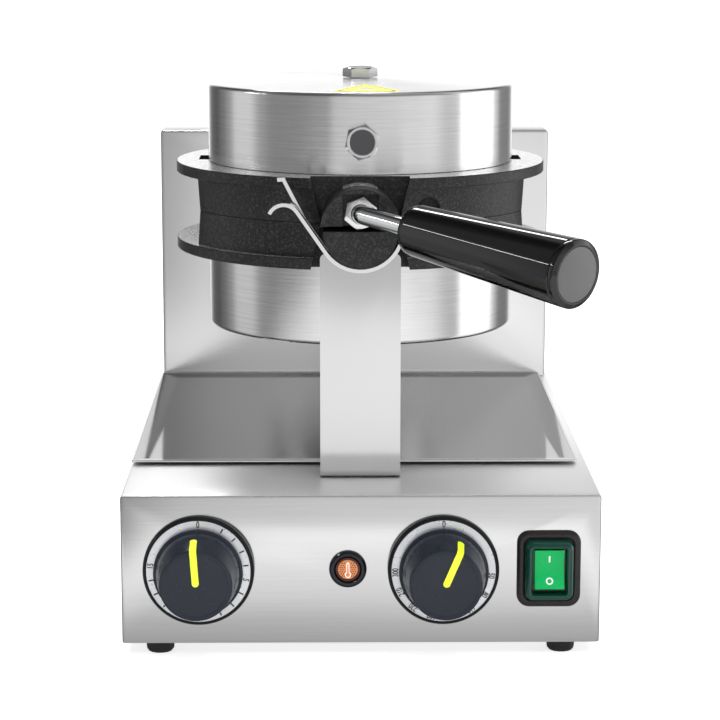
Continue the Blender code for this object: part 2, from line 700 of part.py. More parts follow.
def iron_fittings(label, frame):
    """The cover over an iron, its two bolts and the heater under it."""
    edge, inner = COVER_EDGE, COVER_RADIUS - COVER_SHEET
    span = COVER_RADIUS - edge

    def dome(radius):
        return COVER_TOP + COVER_DOME * (1 - (radius / span) ** 2)

    outside = [(span * part, dome(span * part)) for part in (0, 0.4, 0.75)]
    outside += arc((span, COVER_TOP - edge), edge, 90, 0, 3)
    inside = [(inner, COVER_TOP - edge), (span, COVER_TOP - COVER_SHEET)]
    inside += [(span * part, dome(span * part) - COVER_SHEET) for part in (0.6, 0)]
    rim = FLANGE_TOP + GAP
    cover = turned(
        f"{label}_cover", outside + [(COVER_RADIUS, rim), (inner, rim)] + inside,
        brushed, sides=48, parent=frame,
    )
    shank, clear = 5 * MM, 5.3 * MM
    side_at = (0, 0, SIDE_BOLT_HEIGHT)
    cut(
        cover,
        cylinder(f"{label}_top_hole", clear, COVER_TOP - 8 * MM, COVER_TOP + 8 * MM, sides=16,
                 parent=frame),
        cylinder(f"{label}_side_hole", clear, at=side_at, parent=frame, sides=16,
                 **along_y(COVER_RADIUS - 8 * MM, COVER_RADIUS + 8 * MM)),
    )
    top = pivot(f"{label}_top_bolt_seat", (0, 0, COVER_TOP + COVER_DOME + GAP), parent=frame)
    bolt(f"{label}_top_bolt", BOLT_ACROSS_FLATS, BOLT_HEAD, shank, 30 * MM, parent=top)
    front = pivot(f"{label}_side_bolt_seat", (0, -COVER_RADIUS - GAP, SIDE_BOLT_HEIGHT),
                  parent=frame, turn=(RIGHT_ANGLE, math.radians(-19), 0))
    bolt(f"{label}_side_bolt", BOLT_ACROSS_FLATS, BOLT_HEAD, shank, 17 * MM, parent=front)

    element = 4 * MM
    height = RECESS_FLOOR + GAP + element
    ring = [(x, y, height) for x, y in arc((0, 0), 56 * MM, 106, 434, 22)]
    ends = [Vector(point) + Vector((0, 0, 16 * MM)) for point in (ring[0], ring[-1])]
    tube(f"{label}_heater", [ends[0], *ring, ends[1]], element,
         lambda name: look(name, (0.25, 0.22, 0.2), 0.5, 1.0), parent=frame)


def hinge_eye(label, low, high, frame):
    """A knuckle of the hinge, from x = low to x = high."""
    return cylinder(f"{label}_eye", KNUCKLE_RADIUS, at=(0, HINGE_Y, 0), sides=20, parent=frame,
                    **along_x(low, high))


def pin_hole(label, frame):
    return cylinder(f"{label}_pin_hole", PIN_RADIUS + GAP, at=(0, HINGE_Y, 0), sides=16,
                    parent=frame, **along_x(-40 * MM, 40 * MM))


def lower_iron(frame):
    """The iron that carries the hinge's fork and the shaft. Its frame is turned half round Y."""
    disc = pivot("lower_disc", (-DISC_X, 0, 0), parent=frame)
    journal = half_disc(LOWER_JOURNAL_RADIUS, LOWER_JOURNAL_DROP)
    plate = iron("lower", frame, disc, journal, LOWER_JOURNAL_FRONT)
    arm_in, arm_out, back = 12 * MM, 24 * MM, 136 * MM
    root, bridge = 86 * MM, 130 * MM
    fork_low, fork_high = HINGE_LIFT, 14 * MM
    fork = slab(
        "fork",
        [(-arm_out, root), (-arm_in, root), (-arm_in, bridge), (arm_in, bridge),
         (arm_in, root), (arm_out, root), (arm_out, back), (-arm_out, back)],
        fork_high - fork_low, parent=frame, at=(0, 0, (fork_low + fork_high) / 2),
    )
    rib = block("fork_rib", (-arm_out + MM, bridge + MM, -8 * MM),
                (arm_out - MM, back - MM, fork_high - MM), parent=frame)
    unite(plate, fork, rib)
    for side in (-1, 1):
        low, high = sorted((side * (arm_in + GAP), side * (arm_out - GAP)))
        unite(plate, hinge_eye(f"fork_{'left' if side < 0 else 'right'}", low, high, frame))
    cut(plate, pin_hole("lower", frame))
    turned(
        "rear_shaft",
        [(SHAFT_BORE, SHAFT_END), (SHAFT_RADIUS, SHAFT_END), (SHAFT_RADIUS, back + 5 * MM),
         (9.3 * MM, back + 4 * MM), (9.3 * MM, back + GAP), (SHAFT_BORE, back + GAP)],
        chrome, sides=24, parent=frame, turn=(-RIGHT_ANGLE, 0, 0),
    )
    turned(
        "hinge_pin",
        [(0, 26.5 * MM), (4.5 * MM, 26.5 * MM), (4.5 * MM, arm_out + GAP),
         (PIN_RADIUS, arm_out + GAP), (PIN_RADIUS, -27 * MM), (0, -27 * MM)],
        chrome, sides=16, parent=frame, at=(0, HINGE_Y, 0), turn=(0, RIGHT_ANGLE, 0),
    )
    iron_fittings("lower", disc)


def shaft_fittings(frame):
    """What holds the shaft behind the column's wall, and stops it after half a turn."""
    bore = SHAFT_RADIUS + RUNNING_GAP
    collar_low = COLUMN_WALL + 8.5 * MM
    collar_high = collar_low + 8 * MM
    hub = 12 * MM
    collar = turned(
        "stop_collar", [(bore, collar_high), (hub, collar_high), (hub, collar_low),
                        (bore, collar_low)],
        chrome, sides=24, parent=frame, turn=(-RIGHT_ANGLE, 0, 0),
    )
    margin = math.degrees(math.asin(STOP_PIN_RADIUS / STOP_PIN_OFFSET)) + 1.5
    outer = arc((0, 0), 20 * MM, -90 + margin, 90 - margin, 12)
    inner = arc((0, 0), 10.5 * MM, 90 - margin, -90 + margin, 12)
    unite(collar, prism("stop_sector", outer + inner, collar_low, collar_high, parent=frame))
    nut = hexagon("shaft_nut", 24 * MM, collar_high + GAP, collar_high + 7 * MM, chrome,
                  parent=frame, turn=(-RIGHT_ANGLE, 0, 0))
    cut(nut, cylinder("shaft_nut_bore", bore, collar_high - MM, collar_high + 9 * MM,
                      parent=frame, turn=(-RIGHT_ANGLE, 0, 0)))


def bearing():
    """The flanged bearing on the column, its bush and the fixed stop pin."""
    where = {"at": (0, COLUMN_FRONT, HEAD.z), "turn": (-RIGHT_ANGLE, 0, 0)}
    bush_out, face = 10.5 * MM, -10 * MM
    turned(
        "bearing_flange",
        [(bush_out + GAP, -GAP), (22 * MM, -GAP), (22 * MM, -5 * MM), (14 * MM, -6 * MM),
         (14 * MM, face), (bush_out + GAP, face)],
        casting, sides=24, **where,
    )
    bore = SHAFT_RADIUS + RUNNING_GAP
    turned(
        "bearing_bush",
        [(bore, 7 * MM), (bush_out, 7 * MM), (bush_out, face), (bore, face)],
        lambda name: look(name, (0.6, 0.42, 0.2), 0.4, 1.0), sides=24, **where,
    )
    cylinder("stop_pin", STOP_PIN_RADIUS, SHEET + GAP, 15 * MM, chrome, sides=12,
             at=(0, COLUMN_FRONT, HEAD.z - STOP_PIN_OFFSET), turn=(-RIGHT_ANGLE, 0, 0))


def upper_iron(frame):
    """The iron that opens. It carries the hinge's middle knuckle and the handle."""
    disc = pivot("upper_disc", (DISC_X, 0, 0), parent=frame)
    plate = iron("upper", frame, disc, half_disc(UPPER_JOURNAL_RADIUS), UPPER_JOURNAL_FRONT)
    knuckle = 11.5 * MM
    unite(
        plate,
        block("knuckle_web", (-knuckle + GAP, 86 * MM, HINGE_LIFT), (knuckle - GAP, HINGE_Y, 11 * MM),
              parent=frame),
        hinge_eye("upper", -knuckle, knuckle, frame),
    )
    face = UPPER_JOURNAL_FRONT - 1.5 * MM
    pocket_floor = face - 3.2 * MM
    rod_at = (0, 0, ROD_HEIGHT)
    cut(
        plate,
        pin_hole("upper", frame),
        prism("journal_face", half_disc(17.3 * MM), -face - 4 * MM, -face, parent=frame),
        block("nut_seat", (-9.4 * MM, -face - 4 * MM, -MM), (9.4 * MM, -pocket_floor, 18.2 * MM),
              parent=frame),
        cylinder("rod_hole", ROD_RADIUS + GAP, at=rod_at, parent=frame, sides=20,
                 **along_y(93 * MM, 122 * MM)),
        cylinder("steam_hole", 6 * MM, at=(36.4 * MM, 0, 7.5 * MM), parent=frame, sides=20,
                 **along_y(84 * MM, 110 * MM)),
    )
    iron_fittings("upper", disc)
    handle(frame, pocket_floor)


def handle(frame, nut_seat):
    """A bent rod with its lock nut, a tapered grip and the grip's end cap."""
    nut_turn = math.radians(10)
    forward = {"parent": frame, "at": (0, 0, ROD_HEIGHT), "turn": (RIGHT_ANGLE, nut_turn, 0)}
    nut = hexagon("handle_nut", 15.5 * MM, nut_seat + GAP, nut_seat + 6.3 * MM, chrome, **forward)
    cut(nut, cylinder("handle_nut_bore", ROD_RADIUS + GAP, nut_seat - MM, nut_seat + 9 * MM,
                      sides=20, **forward))

    corner = Vector((0, -ROD_CORNER, ROD_HEIGHT))
    ease, inside = 2.6 * MM, 25 * MM
    bend_from, bend_to = corner + Vector((0, ease, 0)), corner + HANDLE_AXIS * ease
    route = [corner + Vector((0, 29 * MM, 0))]
    for step in range(7):
        along = step / 6
        route.append(
            (1 - along) ** 2 * bend_from + 2 * along * (1 - along) * corner + along**2 * bend_to
        )
    route.append(corner + HANDLE_AXIS * (GRIP_START + inside))
    tube("handle_rod", route, ROD_RADIUS, chrome, parent=frame)

    aim = HANDLE_AXIS.to_track_quat("Z", "Y").to_euler()
    grip_at = corner + HANDLE_AXIS * GRIP_START
    bore = ROD_RADIUS + GAP
    turned(
        "handle_grip",
        [(0, GRIP_LENGTH), (GRIP_FAR_RADIUS - 0.8 * MM, GRIP_LENGTH),
         (GRIP_FAR_RADIUS, GRIP_LENGTH - 0.8 * MM), (GRIP_NEAR_RADIUS, 2.4 * MM),
         (GRIP_NEAR_RADIUS - 0.8 * MM, 0.8 * MM), (GRIP_NEAR_RADIUS - 2.2 * MM, 0), (bore, 0),
         (bore, inside + 2 * MM), (0, inside + 2 * MM)],
        lambda name: look(name, (0.012, 0.012, 0.012), 0.12), sides=32,
        parent=frame, at=grip_at, turn=aim,
    )
    cap_low = GRIP_LENGTH + GAP
    cap_high = cap_low + END_CAP_LENGTH
    turned(
        "handle_end_cap",
        [(0, cap_high), (GRIP_FAR_RADIUS - END_CAP_EDGE, cap_high),
         (GRIP_FAR_RADIUS - 0.6 * MM, cap_high - 0.6 * MM),
         (GRIP_FAR_RADIUS, cap_high - END_CAP_EDGE), (GRIP_FAR_RADIUS, cap_low), (0, cap_low)],
        lambda name: look(name, (0.09, 0.09, 0.09), 0.55), sides=32,
        parent=frame, at=grip_at, turn=aim,
    )


def latch(frame):
    """A steel strip that wraps under the lower journal and splits into a finger curl and a hook.

    The slot between the two lets the bracket through when the head turns over.
    """
    slot_front = -HEAD_FROM_FRONT + BRACKET_FROM_FRONT - LATCH_SLOT
    slot_back = slot_front + BRACKET_SHEET + 2 * LATCH_SLOT
    columns = (-LATCH_FRONT, slot_front, slot_back, -LATCH_BACK)
    leave = -145.2
    wrap = arc((0, 0), LATCH_RADIUS, -22, leave, 14)
    slot_from = 12
    start = Vector(wrap[-1])
    rise = math.radians(leave - 90)

    def heading(turn):
        return Vector((math.cos(rise + math.radians(turn)), math.sin(rise + math.radians(turn))))

    run, curl = 26.6 * MM, 8.2 * MM
    lean_end = start + heading(0) * run
    centre = lean_end + heading(90) * curl
    front_tine = [start + heading(0) * run / 2]
    front_tine += [Vector(point) for point in arc(centre, curl, leave - 180, leave - 60, 8)]
    knee = start + heading(0) * 20 * MM
    rear_top = knee + heading(-7.4) * 23.4 * MM
    rear_tine = [knee, rear_top, rear_top + heading(60) * 3.2 * MM]

    bm = bmesh.new()

    def row(point, picks):
        return {pick: bm.verts.new((point[0], columns[pick], point[1])) for pick in picks}

    def skin(before, after, picks):
        for left, right in zip(picks, picks[1:]):
            if left in before and right in before:
                bm.faces.new((before[left], before[right], after[right], after[left]))

    rows = [row(point, range(4)) for point in wrap]
    for index, (before, after) in enumerate(zip(rows, rows[1:])):
        spans = ((0, 1, 2, 3),) if index < slot_from else ((0, 1), (2, 3))
        for picks in spans:
            skin(before, after, picks)
    for picks, path in (((0, 1), front_tine), ((2, 3), rear_tine)):
        before = rows[-1]
        for point in path:
            after = row(point, picks)
            skin(before, after, picks)
            before = after
    strip = place("latch_strip", mesh_from(bm, "latch_strip"), brushed, parent=frame)
    thicken(strip, LATCH_SHEET, offset=0.0)


def bracket():
    """The strip bent up from the deck that holds the front journal in its U."""
    front, foot, top = FRONT_Y + BRACKET_FROM_FRONT, DECK + GAP, HEAD.z - BRACKET_TOP
    bend = 4 * MM
    path = [(front + BRACKET_FOOT, foot)]
    path += arc((front + bend, foot + bend), bend, 270, 180, 5)
    path.append((front, top))
    half = BRACKET_WIDTH / 2
    bm = bmesh.new()
    rows = [[bm.verts.new((side * half, y, z)) for side in (-1, 1)] for y, z in path]
    for before, after in zip(rows, rows[1:]):
        bm.faces.new((before[0], before[1], after[1], after[0]))
    bmesh.ops.bevel(bm, geom=rows[-1] + rows[0], offset=3 * MM, segments=3, affect="VERTICES",
                    profile=0.5)
    strip = place("front_bracket", mesh_from(bm, "front_bracket"), brushed)
    thicken(strip, BRACKET_SHEET)
    cut(strip, cylinder("journal_cut", BRACKET_CUT_RADIUS, sides=48, at=(0, FRONT_Y, HEAD.z),
                        **along_y(-60 * MM, -20 * MM)))
    for side in (-1, 1):
        name = f"bracket_screw_{'left' if side < 0 else 'right'}"
        head, shank, flush = 3.9 * MM, 1.9 * MM, BRACKET_SHEET - 0.1 * MM
        where = {"at": (side * 11 * MM, front + BRACKET_SCREW, foot)}
        turned(name, [(0, flush), (head, flush), (shank, flush - 2 * MM), (shank, -8 * MM),
                      (0, -8 * MM)], chrome, sides=16, **where)
        cut(strip, cylinder(name + "_sink", shank + 2 * GAP, -MM, BRACKET_SHEET + MM, sides=16,
                            end_radius=head + 2 * GAP + MM, **where))


def drip_tray():
    """A shallow pan with sloping sides, which lies on the deck between the bracket and column."""
    frame = pivot("tray_slide", (TRAY_X, FRONT_Y + TRAY_FROM_FRONT, DECK + GAP))
    half, slope = TRAY_WIDTH / 2, TRAY_SLOPE
    bm = bmesh.new()
    floor = [(-half + slope, slope), (half - slope, slope),
             (half - slope, TRAY_LENGTH - slope), (-half + slope, TRAY_LENGTH - slope)]
    rim = [(-half, 0), (half, 0), (half, TRAY_LENGTH), (-half, TRAY_LENGTH)]
    low = [bm.verts.new((x, y, 0)) for x, y in floor]
    high = [bm.verts.new((x, y, TRAY_HEIGHT)) for x, y in rim]
    bm.faces.new(list(reversed(low)))
    for here in range(4):
        there = (here + 1) % 4
        bm.faces.new((low[here], low[there], high[there], high[here]))
    folds = [edge for edge in bm.edges if len(edge.link_faces) == 2]
    bmesh.ops.bevel(bm, geom=folds, offset=2 * MM, segments=2, profile=0.5, affect="EDGES",
                    clamp_overlap=True)
    thicken(place("drip_tray", mesh_from(bm, "drip_tray"), brushed, parent=frame), TRAY_SHEET)


base()
column()
wiring()
control("timer", TIMER_X, TIMER_REST, 22 * MM)
control("thermostat", THERMOSTAT_X, THERMOSTAT_REST, 20 * MM)
lamp()
switch()
bearing()
bracket()
drip_tray()
head_axis = pivot("head_axis", HEAD)
shaft_fittings(head_axis)
lower_iron(pivot("lower_frame", (0, 0, 0), parent=head_axis, turn=(0, math.pi, 0)))
latch(pivot("latch_axis", (0, 0, 0), parent=head_axis))
lid_hinge = pivot("lid_hinge", (0, HINGE_Y, 0), parent=head_axis)
upper_iron(pivot("upper_frame", (0, -HINGE_Y, 0), parent=lid_hinge))
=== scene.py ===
"""The looks of the waffle cone maker: finishes, fine detail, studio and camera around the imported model.

Metres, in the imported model's frame: the controls face -Y and z = 0 is the worktop.
"""

import json
import math

import bmesh
import bpy
from mathutils import Matrix, Vector

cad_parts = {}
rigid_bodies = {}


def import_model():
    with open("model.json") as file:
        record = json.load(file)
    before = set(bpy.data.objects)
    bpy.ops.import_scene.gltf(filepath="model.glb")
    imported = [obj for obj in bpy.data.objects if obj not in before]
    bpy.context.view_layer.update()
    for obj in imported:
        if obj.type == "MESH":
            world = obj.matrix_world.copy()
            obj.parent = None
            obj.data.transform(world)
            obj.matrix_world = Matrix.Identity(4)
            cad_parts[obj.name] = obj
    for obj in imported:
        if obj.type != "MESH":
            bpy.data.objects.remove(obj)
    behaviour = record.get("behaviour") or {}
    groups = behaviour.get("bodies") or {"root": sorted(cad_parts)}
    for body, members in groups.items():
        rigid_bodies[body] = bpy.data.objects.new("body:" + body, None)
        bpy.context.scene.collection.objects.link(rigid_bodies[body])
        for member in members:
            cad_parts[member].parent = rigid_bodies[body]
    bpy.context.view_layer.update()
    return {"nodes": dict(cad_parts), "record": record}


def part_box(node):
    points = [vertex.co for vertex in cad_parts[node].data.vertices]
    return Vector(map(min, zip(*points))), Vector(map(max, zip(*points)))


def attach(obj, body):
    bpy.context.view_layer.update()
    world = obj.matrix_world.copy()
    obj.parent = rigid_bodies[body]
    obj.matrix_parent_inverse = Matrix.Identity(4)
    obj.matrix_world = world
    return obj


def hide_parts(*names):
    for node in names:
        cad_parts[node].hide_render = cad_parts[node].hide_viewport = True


MM = 0.001
FULL_TURN = 2 * math.pi

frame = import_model()
NODES = frame["nodes"]
JOINTS = {joint["name"]: joint for joint in frame["record"]["behaviour"]["joints"]}
HEAD = Vector(JOINTS["head_rotate"]["pos_m"])
BODY_OF = {n: body for body, names in frame["record"]["behaviour"]["bodies"].items() for n in names}


def degrees(*angles):
    return [math.radians(angle) for angle in angles]


# ---------------------------------------------------------------- finishes


class Finish:
    """A Principled material and the node-building calls that its detail needs."""

    def __init__(self, name, colour, roughness, metallic=0.0, **sockets):
        self.material = bpy.data.materials.new(name)
        self.material.use_nodes = True
        self.tree = self.material.node_tree
        self.shader = self.tree.nodes["Principled BSDF"]
        values = {"Base Color": (*colour, 1), "Roughness": roughness, "Metallic": metallic, **sockets}
        for socket, value in values.items():
            self.shader.inputs[socket].default_value = value

    def node(self, kind, inputs=None, **settings):
        made = self.tree.nodes.new(kind)
        for setting, value in settings.items():
            setattr(made, setting, value)
        for socket, value in (inputs or {}).items():
            if isinstance(value, bpy.types.NodeSocket):
                self.tree.links.new(value, made.inputs[socket])
            else:
                made.inputs[socket].default_value = value
        return made

    def drive(self, socket, source):
        self.tree.links.new(source, self.shader.inputs[socket])

    def place(self, scale):
        """Object coordinates, stretched by scale along each axis."""
        where = self.node("ShaderNodeTexCoord").outputs["Object"]
        return self.node("ShaderNodeMapping", {"Vector": where, "Scale": scale}).outputs["Vector"]

    def noise(self, scale, detail=3.0, roughness=0.6, stretch=(1, 1, 1)):
        inputs = {"Vector": self.place(stretch), "Scale": scale, "Detail": detail, "Roughness": roughness}
        return self.node("ShaderNodeTexNoise", inputs).outputs["Fac"]

    def spread(self, source, low, high, start=0.3, end=0.7):
        """source from start to end, remapped to low to high."""
        inputs = {"Value": source, "From Min": start, "From Max": end, "To Min": low, "To Max": high}
        return self.node("ShaderNodeMapRange", inputs).outputs["Result"]

    def blend(self, factor, first, second):
        made = self.node("ShaderNodeMix", data_type="RGBA")
        for socket, value in ((0, factor), (6, first), (7, second)):
            if isinstance(value, bpy.types.NodeSocket):
                self.tree.links.new(value, made.inputs[socket])
            else:
                made.inputs[socket].default_value = value if socket == 0 else (*value, 1)
        return made.outputs[2]

    def bump(self, height, distance, strength=1.0, below=None):
        inputs = {"Height": height, "Distance": distance, "Strength": strength}
        if below is not None:
            inputs["Normal"] = below
        made = self.node("ShaderNodeBump", inputs).outputs["Normal"]
        self.drive("Normal", made)
        return made

    def tangent_round(self, axis="Z"):
        self.drive("Tangent", self.node("ShaderNodeTangent", direction_type="RADIAL", axis=axis).outputs[0])


# Height of the flanges' ground faces above the head's axis, less a little
GROUND_LEVEL = 18 * MM
# The irons' round plates: sideways place of their axis, and a little over their flanges' radius
DISC_X, FLANGE_REACH = 1.2 * MM, 104 * MM


def brushed(name, tone, roughness, grain, anisotropy, contrast, smudge):
    """Steel brushed along its tangent, so highlights smear across the lines.

    grain stretches the noise of the lines. contrast is their strength, and smudge that of the broad
    worn patches.
    """
    finish = Finish(name, (tone, tone, tone * 1.005), roughness, 1.0,
                    **{"Anisotropic": anisotropy, "Anisotropic Rotation": 0.25})
    lines = finish.noise(1.0, detail=4, roughness=0.75, stretch=grain)
    broad = finish.noise(9.0, detail=2, roughness=0.5, stretch=(1, 1, 1.6))
    worn = finish.spread(broad, -smudge, smudge)
    fine = finish.spread(lines, roughness - contrast / 3, roughness + contrast / 3)
    total = finish.node("ShaderNodeMath", {0: fine, 1: worn}, operation="ADD").outputs[0]
    finish.drive("Roughness", total)
    dark, light = (tone * (1 - contrast),) * 3, (min(1, tone * (1 + contrast)),) * 3
    finish.drive("Base Color", finish.blend(finish.spread(lines, 0, 1), dark, light))
    finish.bump(lines, 0.004 * MM, 0.5)
    finish.tangent_round()
    return finish


def brushed_steel(*settings):
    """The material of a brushed finish that needs nothing more."""
    return brushed(*settings).material


def base_steel():
    """The folded base: brushed steel whose level deck is painted near-white, rougher and less metallic than
    its walls, which is painted light on the top faces.
    """
    finish = brushed("stainless", 0.64, 0.17, LINES_FLAT, 0.4, 0.03, 0.03)
    colour, rough = (finish.shader.inputs[name].links[0].from_socket for name in ("Base Color", "Roughness"))
    normal = finish.node("ShaderNodeTexCoord").outputs["Normal"]
    up = finish.node("ShaderNodeSeparateXYZ", {0: normal}).outputs[2]
    # Painted light: faces that point up get a near-white, less mirror-like steel, so the deck reads bright.
    painted_light_deck = finish.spread(up, 0, 1, 0.7, 0.95)
    finish.drive("Base Color", finish.blend(painted_light_deck, colour, (0.93, 0.93, 0.93)))
    finish.drive("Metallic", finish.spread(painted_light_deck, 1.0, 0.75, 0, 1))
    finish.drive("Roughness", finish.node("ShaderNodeMix", {0: painted_light_deck, 2: rough, 3: 0.34}).outputs[0])
    return finish.material


def casting():
    """Black-coated cast iron: a pebbled skin with worn specks. Its flat flange is ground bright."""
    finish = Finish("casting", (0.008, 0.008, 0.009), 0.4, 0.0, **{"Specular IOR Level": 0.4})
    pebbles = finish.noise(900, detail=5, roughness=0.75)
    swell = finish.noise(140, detail=3)
    where = finish.node("ShaderNodeTexCoord")
    split = finish.node("ShaderNodeSeparateXYZ", {0: where.outputs["Normal"]})
    place = finish.node("ShaderNodeSeparateXYZ", {0: where.outputs["Object"]})

    def combine(operation, first, second):
        return finish.node("ShaderNodeMath", {0: first, 1: second}, operation=operation).outputs[0]

    flat = combine("GREATER_THAN", combine("ABSOLUTE", split.outputs[2], 0.0), 0.9)
    level = combine("ABSOLUTE", combine("SUBTRACT", place.outputs[2], HEAD.z), 0.0)
    ground = combine("MULTIPLY", flat, combine("GREATER_THAN", level, GROUND_LEVEL))
    reach = finish.node("ShaderNodeVectorMath", {0: finish.place((1, 1, 0)), 1: (DISC_X, HEAD.y, 0)},
                        operation="DISTANCE").outputs["Value"]
    ground = combine("MULTIPLY", ground, combine("LESS_THAN", reach, FLANGE_REACH))
    worn = finish.spread(finish.noise(300, detail=4), 0.75, 1, 0.35, 0.6)
    bare = combine("MULTIPLY", ground, worn)
    rest = combine("SUBTRACT", 1.0, combine("MULTIPLY", bare, 0.93))
    relief = finish.bump(combine("MULTIPLY", pebbles, rest), 0.16 * MM, 0.8)
    finish.bump(combine("MULTIPLY", swell, rest), 0.3 * MM, 0.5, relief)
    rough = finish.spread(pebbles, 0.3, 0.55)
    finish.drive("Roughness", combine("SUBTRACT", rough, combine("MULTIPLY", bare, 0.2)))
    specks = finish.spread(finish.noise(800, detail=6, roughness=0.8), 0, 1, 0.5, 0.75)
    coat = finish.blend(specks, (0.004, 0.004, 0.005), (0.07, 0.07, 0.07))
    finish.drive("Base Color", finish.blend(bare, coat, (0.7, 0.7, 0.7)))
    finish.drive("Metallic", combine("MULTIPLY", bare, 0.9))
    return finish.material


def polished(name, tone, roughness, scratch=0.04):
    """Chrome, bright zinc or polished steel, with faint handling marks."""
    finish = Finish(name, tone, roughness, 1.0)
    marks = finish.noise(260, detail=5, roughness=0.8, stretch=(1, 1, 0.25))
    finish.drive("Roughness", finish.spread(marks, roughness, roughness + scratch))
    finish.bump(finish.noise(90, detail=2), 0.02 * MM, 0.25)
    return finish.material


def plastic(name, colour, roughness, grain=700, relief=0.01, **sockets):
    """Moulded plastic or rubber with a fine texture."""
    finish = Finish(name, colour, roughness, 0.0, **sockets)
    texture = finish.noise(grain, detail=3)
    finish.drive("Roughness", finish.spread(texture, roughness - 0.04, roughness + 0.06))
    lighter = tuple(min(1, c * 1.12) for c in colour)
    finish.drive("Base Color", finish.blend(finish.spread(finish.noise(40), 0, 1), colour, lighter))
    if relief:
        finish.bump(texture, relief * MM, 0.6)
    return finish.material


# How the noise is stretched for brush lines that run round Z, and for lines that run along X
LINES_ROUND = (22, 22, 1200)
LINES_FLAT = (14, 400, 1500)

FINISHES = {
    "stainless": base_steel(),
    # Painted light: the rear column's steel is a brighter, rougher copy of the base's steel, so it reads
    # lighter.
    "stainless_column_painted_light": brushed_steel("stainless_column_painted_light", 0.8, 0.22, LINES_FLAT, 0.5, 0.012, 0.015),
    "stainless_bracket": brushed_steel("stainless_bracket", 0.56, 0.15, LINES_FLAT, 0.3, 0.012, 0.015),
    "tray_steel": brushed_steel("tray_steel", 0.27, 0.09, (14, 1800, 300), 0.2, 0.03, 0.02),
    "cover_steel": brushed_steel("cover_steel", 0.66, 0.2, LINES_ROUND, 0.8, 0.08, 0.02),
    "plated_steel": polished("plated_steel", (0.55, 0.56, 0.57), 0.3),
    "spring_steel": polished("spring_steel", (0.82, 0.82, 0.83), 0.18),
    "bolt_steel": polished("bolt_steel", (0.62, 0.62, 0.63), 0.12),
    # Painted shade: the bolt heads' flat faces are a much darker copy of the bolt steel.
    "bolt_face_painted_shade": polished("bolt_face_painted_shade", (0.1, 0.1, 0.105), 0.3),
    # Painted highlight: the tray's folded edge is a far brighter copy of the tray's steel, so it shows as a
    # bright line.
    "hem_steel_painted_highlight": polished("hem_steel_painted_highlight", (0.9, 0.9, 0.9), 0.3, 0.0),
    "screw": polished("screw", (0.6, 0.6, 0.6), 0.2),
    "chrome": polished("chrome", (0.68, 0.69, 0.7), 0.06),
    "heater_sheath": polished("heater_sheath", (0.3, 0.29, 0.27), 0.38),
    "bronze": polished("bronze", (0.6, 0.4, 0.2), 0.3),
    "casting": casting(),
    "bakelite": plastic("bakelite", (0.002, 0.002, 0.002), 0.03, 300, 0.0),
    "end_cap": plastic("end_cap", (0.08, 0.08, 0.082), 0.35, 300, 0.0),
    "knob_plastic": plastic("knob_plastic", (0.0135, 0.0165, 0.0245), 0.22, 300, 0.0,
                            **{"Specular IOR Level": 0.25}),
    "pointer_yellow": plastic("pointer_yellow", (0.72, 0.95, 0.015), 0.45),
    "dial_face": plastic("dial_face", (0.62, 0.63, 0.65), 0.3, 500, 0.0, Metallic=0.45),
    "black_trim": plastic("black_trim", (0.013, 0.011, 0.011), 0.3, 500, 0.004,
                          **{"Specular IOR Level": 0.35}),
    "lamp_trim": plastic("lamp_trim", (0.003, 0.004, 0.007), 0.16, 300, 0.0,
                         **{"Specular IOR Level": 0.4}),
    "control_plastic": plastic("control_plastic", (0.03, 0.03, 0.03), 0.5),
    "gland_plastic": plastic("gland_plastic", (0.025, 0.025, 0.026), 0.5),
    "foot_rubber": plastic("foot_rubber", (0.012, 0.012, 0.012), 0.75, 900, 0.05),
    "loom_sleeve": plastic("loom_sleeve", (0.04, 0.04, 0.042), 0.7, 1500, 0.1),
    "rocker_green": plastic(
        "rocker_green", (0.002, 0.34, 0.085), 0.3, 500, 0.0,
        **{"Emission Color": (0.0, 0.6, 0.12, 1), "Emission Strength": 0.1, "Specular IOR Level": 0.2},
    ),
    "amber_lens": plastic("amber_lens", (0.6, 0.21, 0.07), 0.1, 900, 0.02),
    "amber_dark": plastic("amber_dark", (0.05, 0.008, 0.006), 0.15, 500, 0.0),
    "clear_boot": plastic("clear_boot", (0.003, 0.034, 0.024), 0.06, 300, 0.0),
    "ink": plastic("ink", (0.01, 0.01, 0.012), 0.5),
    "white_mark": plastic("white_mark", (0.85, 0.85, 0.85), 0.4),
    "label_yellow": plastic("label_yellow", (0.85, 0.85, 0.08), 0.4),
    "dial_ring": plastic("dial_ring", (0.005, 0.0055, 0.007), 0.3, 300, 0.0,
                         **{"Specular IOR Level": 0.2}),
}


# ---------------------------------------------------------------- building pieces


def make_piece(name, mesh, finish, body, stands_for=(), smooth=35):
    """A new visible piece in its finish, shaded smooth up to an angle, moving with a body."""
    mesh.shade_smooth()
    mesh.set_sharp_from_angle(angle=math.radians(smooth))
    mesh.materials.clear()
    mesh.materials.append(FINISHES[finish])
    piece = bpy.data.objects.new(name, mesh)
    bpy.context.scene.collection.objects.link(piece)
    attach(piece, body)
    if stands_for:
        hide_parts(*stands_for)
    return piece


def mesh_of(bm, name, matrix=None):
    bmesh.ops.recalc_face_normals(bm, faces=bm.faces)
    mesh = bpy.data.meshes.new(name)
    bm.to_mesh(mesh)
    bm.free()
    if matrix is not None:
        mesh.transform(matrix)
    return mesh


def refined(node, finish=None):
    """A welded copy of a CAD node with smooth round faces, which stands for the node."""
    source = NODES[node].data
    mesh = bpy.data.meshes.new(f"{node}_finished")
    mesh.from_pydata([v.co for v in source.vertices], [], [tuple(p.vertices) for p in source.polygons])
    bm = bmesh.new()
    bm.from_mesh(mesh)
    bmesh.ops.remove_doubles(bm, verts=bm.verts, dist=0.002 * MM)
    bmesh.ops.dissolve_limit(bm, angle_limit=math.radians(0.3), verts=bm.verts, edges=bm.edges)
    bm.to_mesh(mesh)
    bm.free()
    slot = source.materials[0].name
    return make_piece(mesh.name, mesh, finish or slot, BODY_OF[node], (node,), 32)


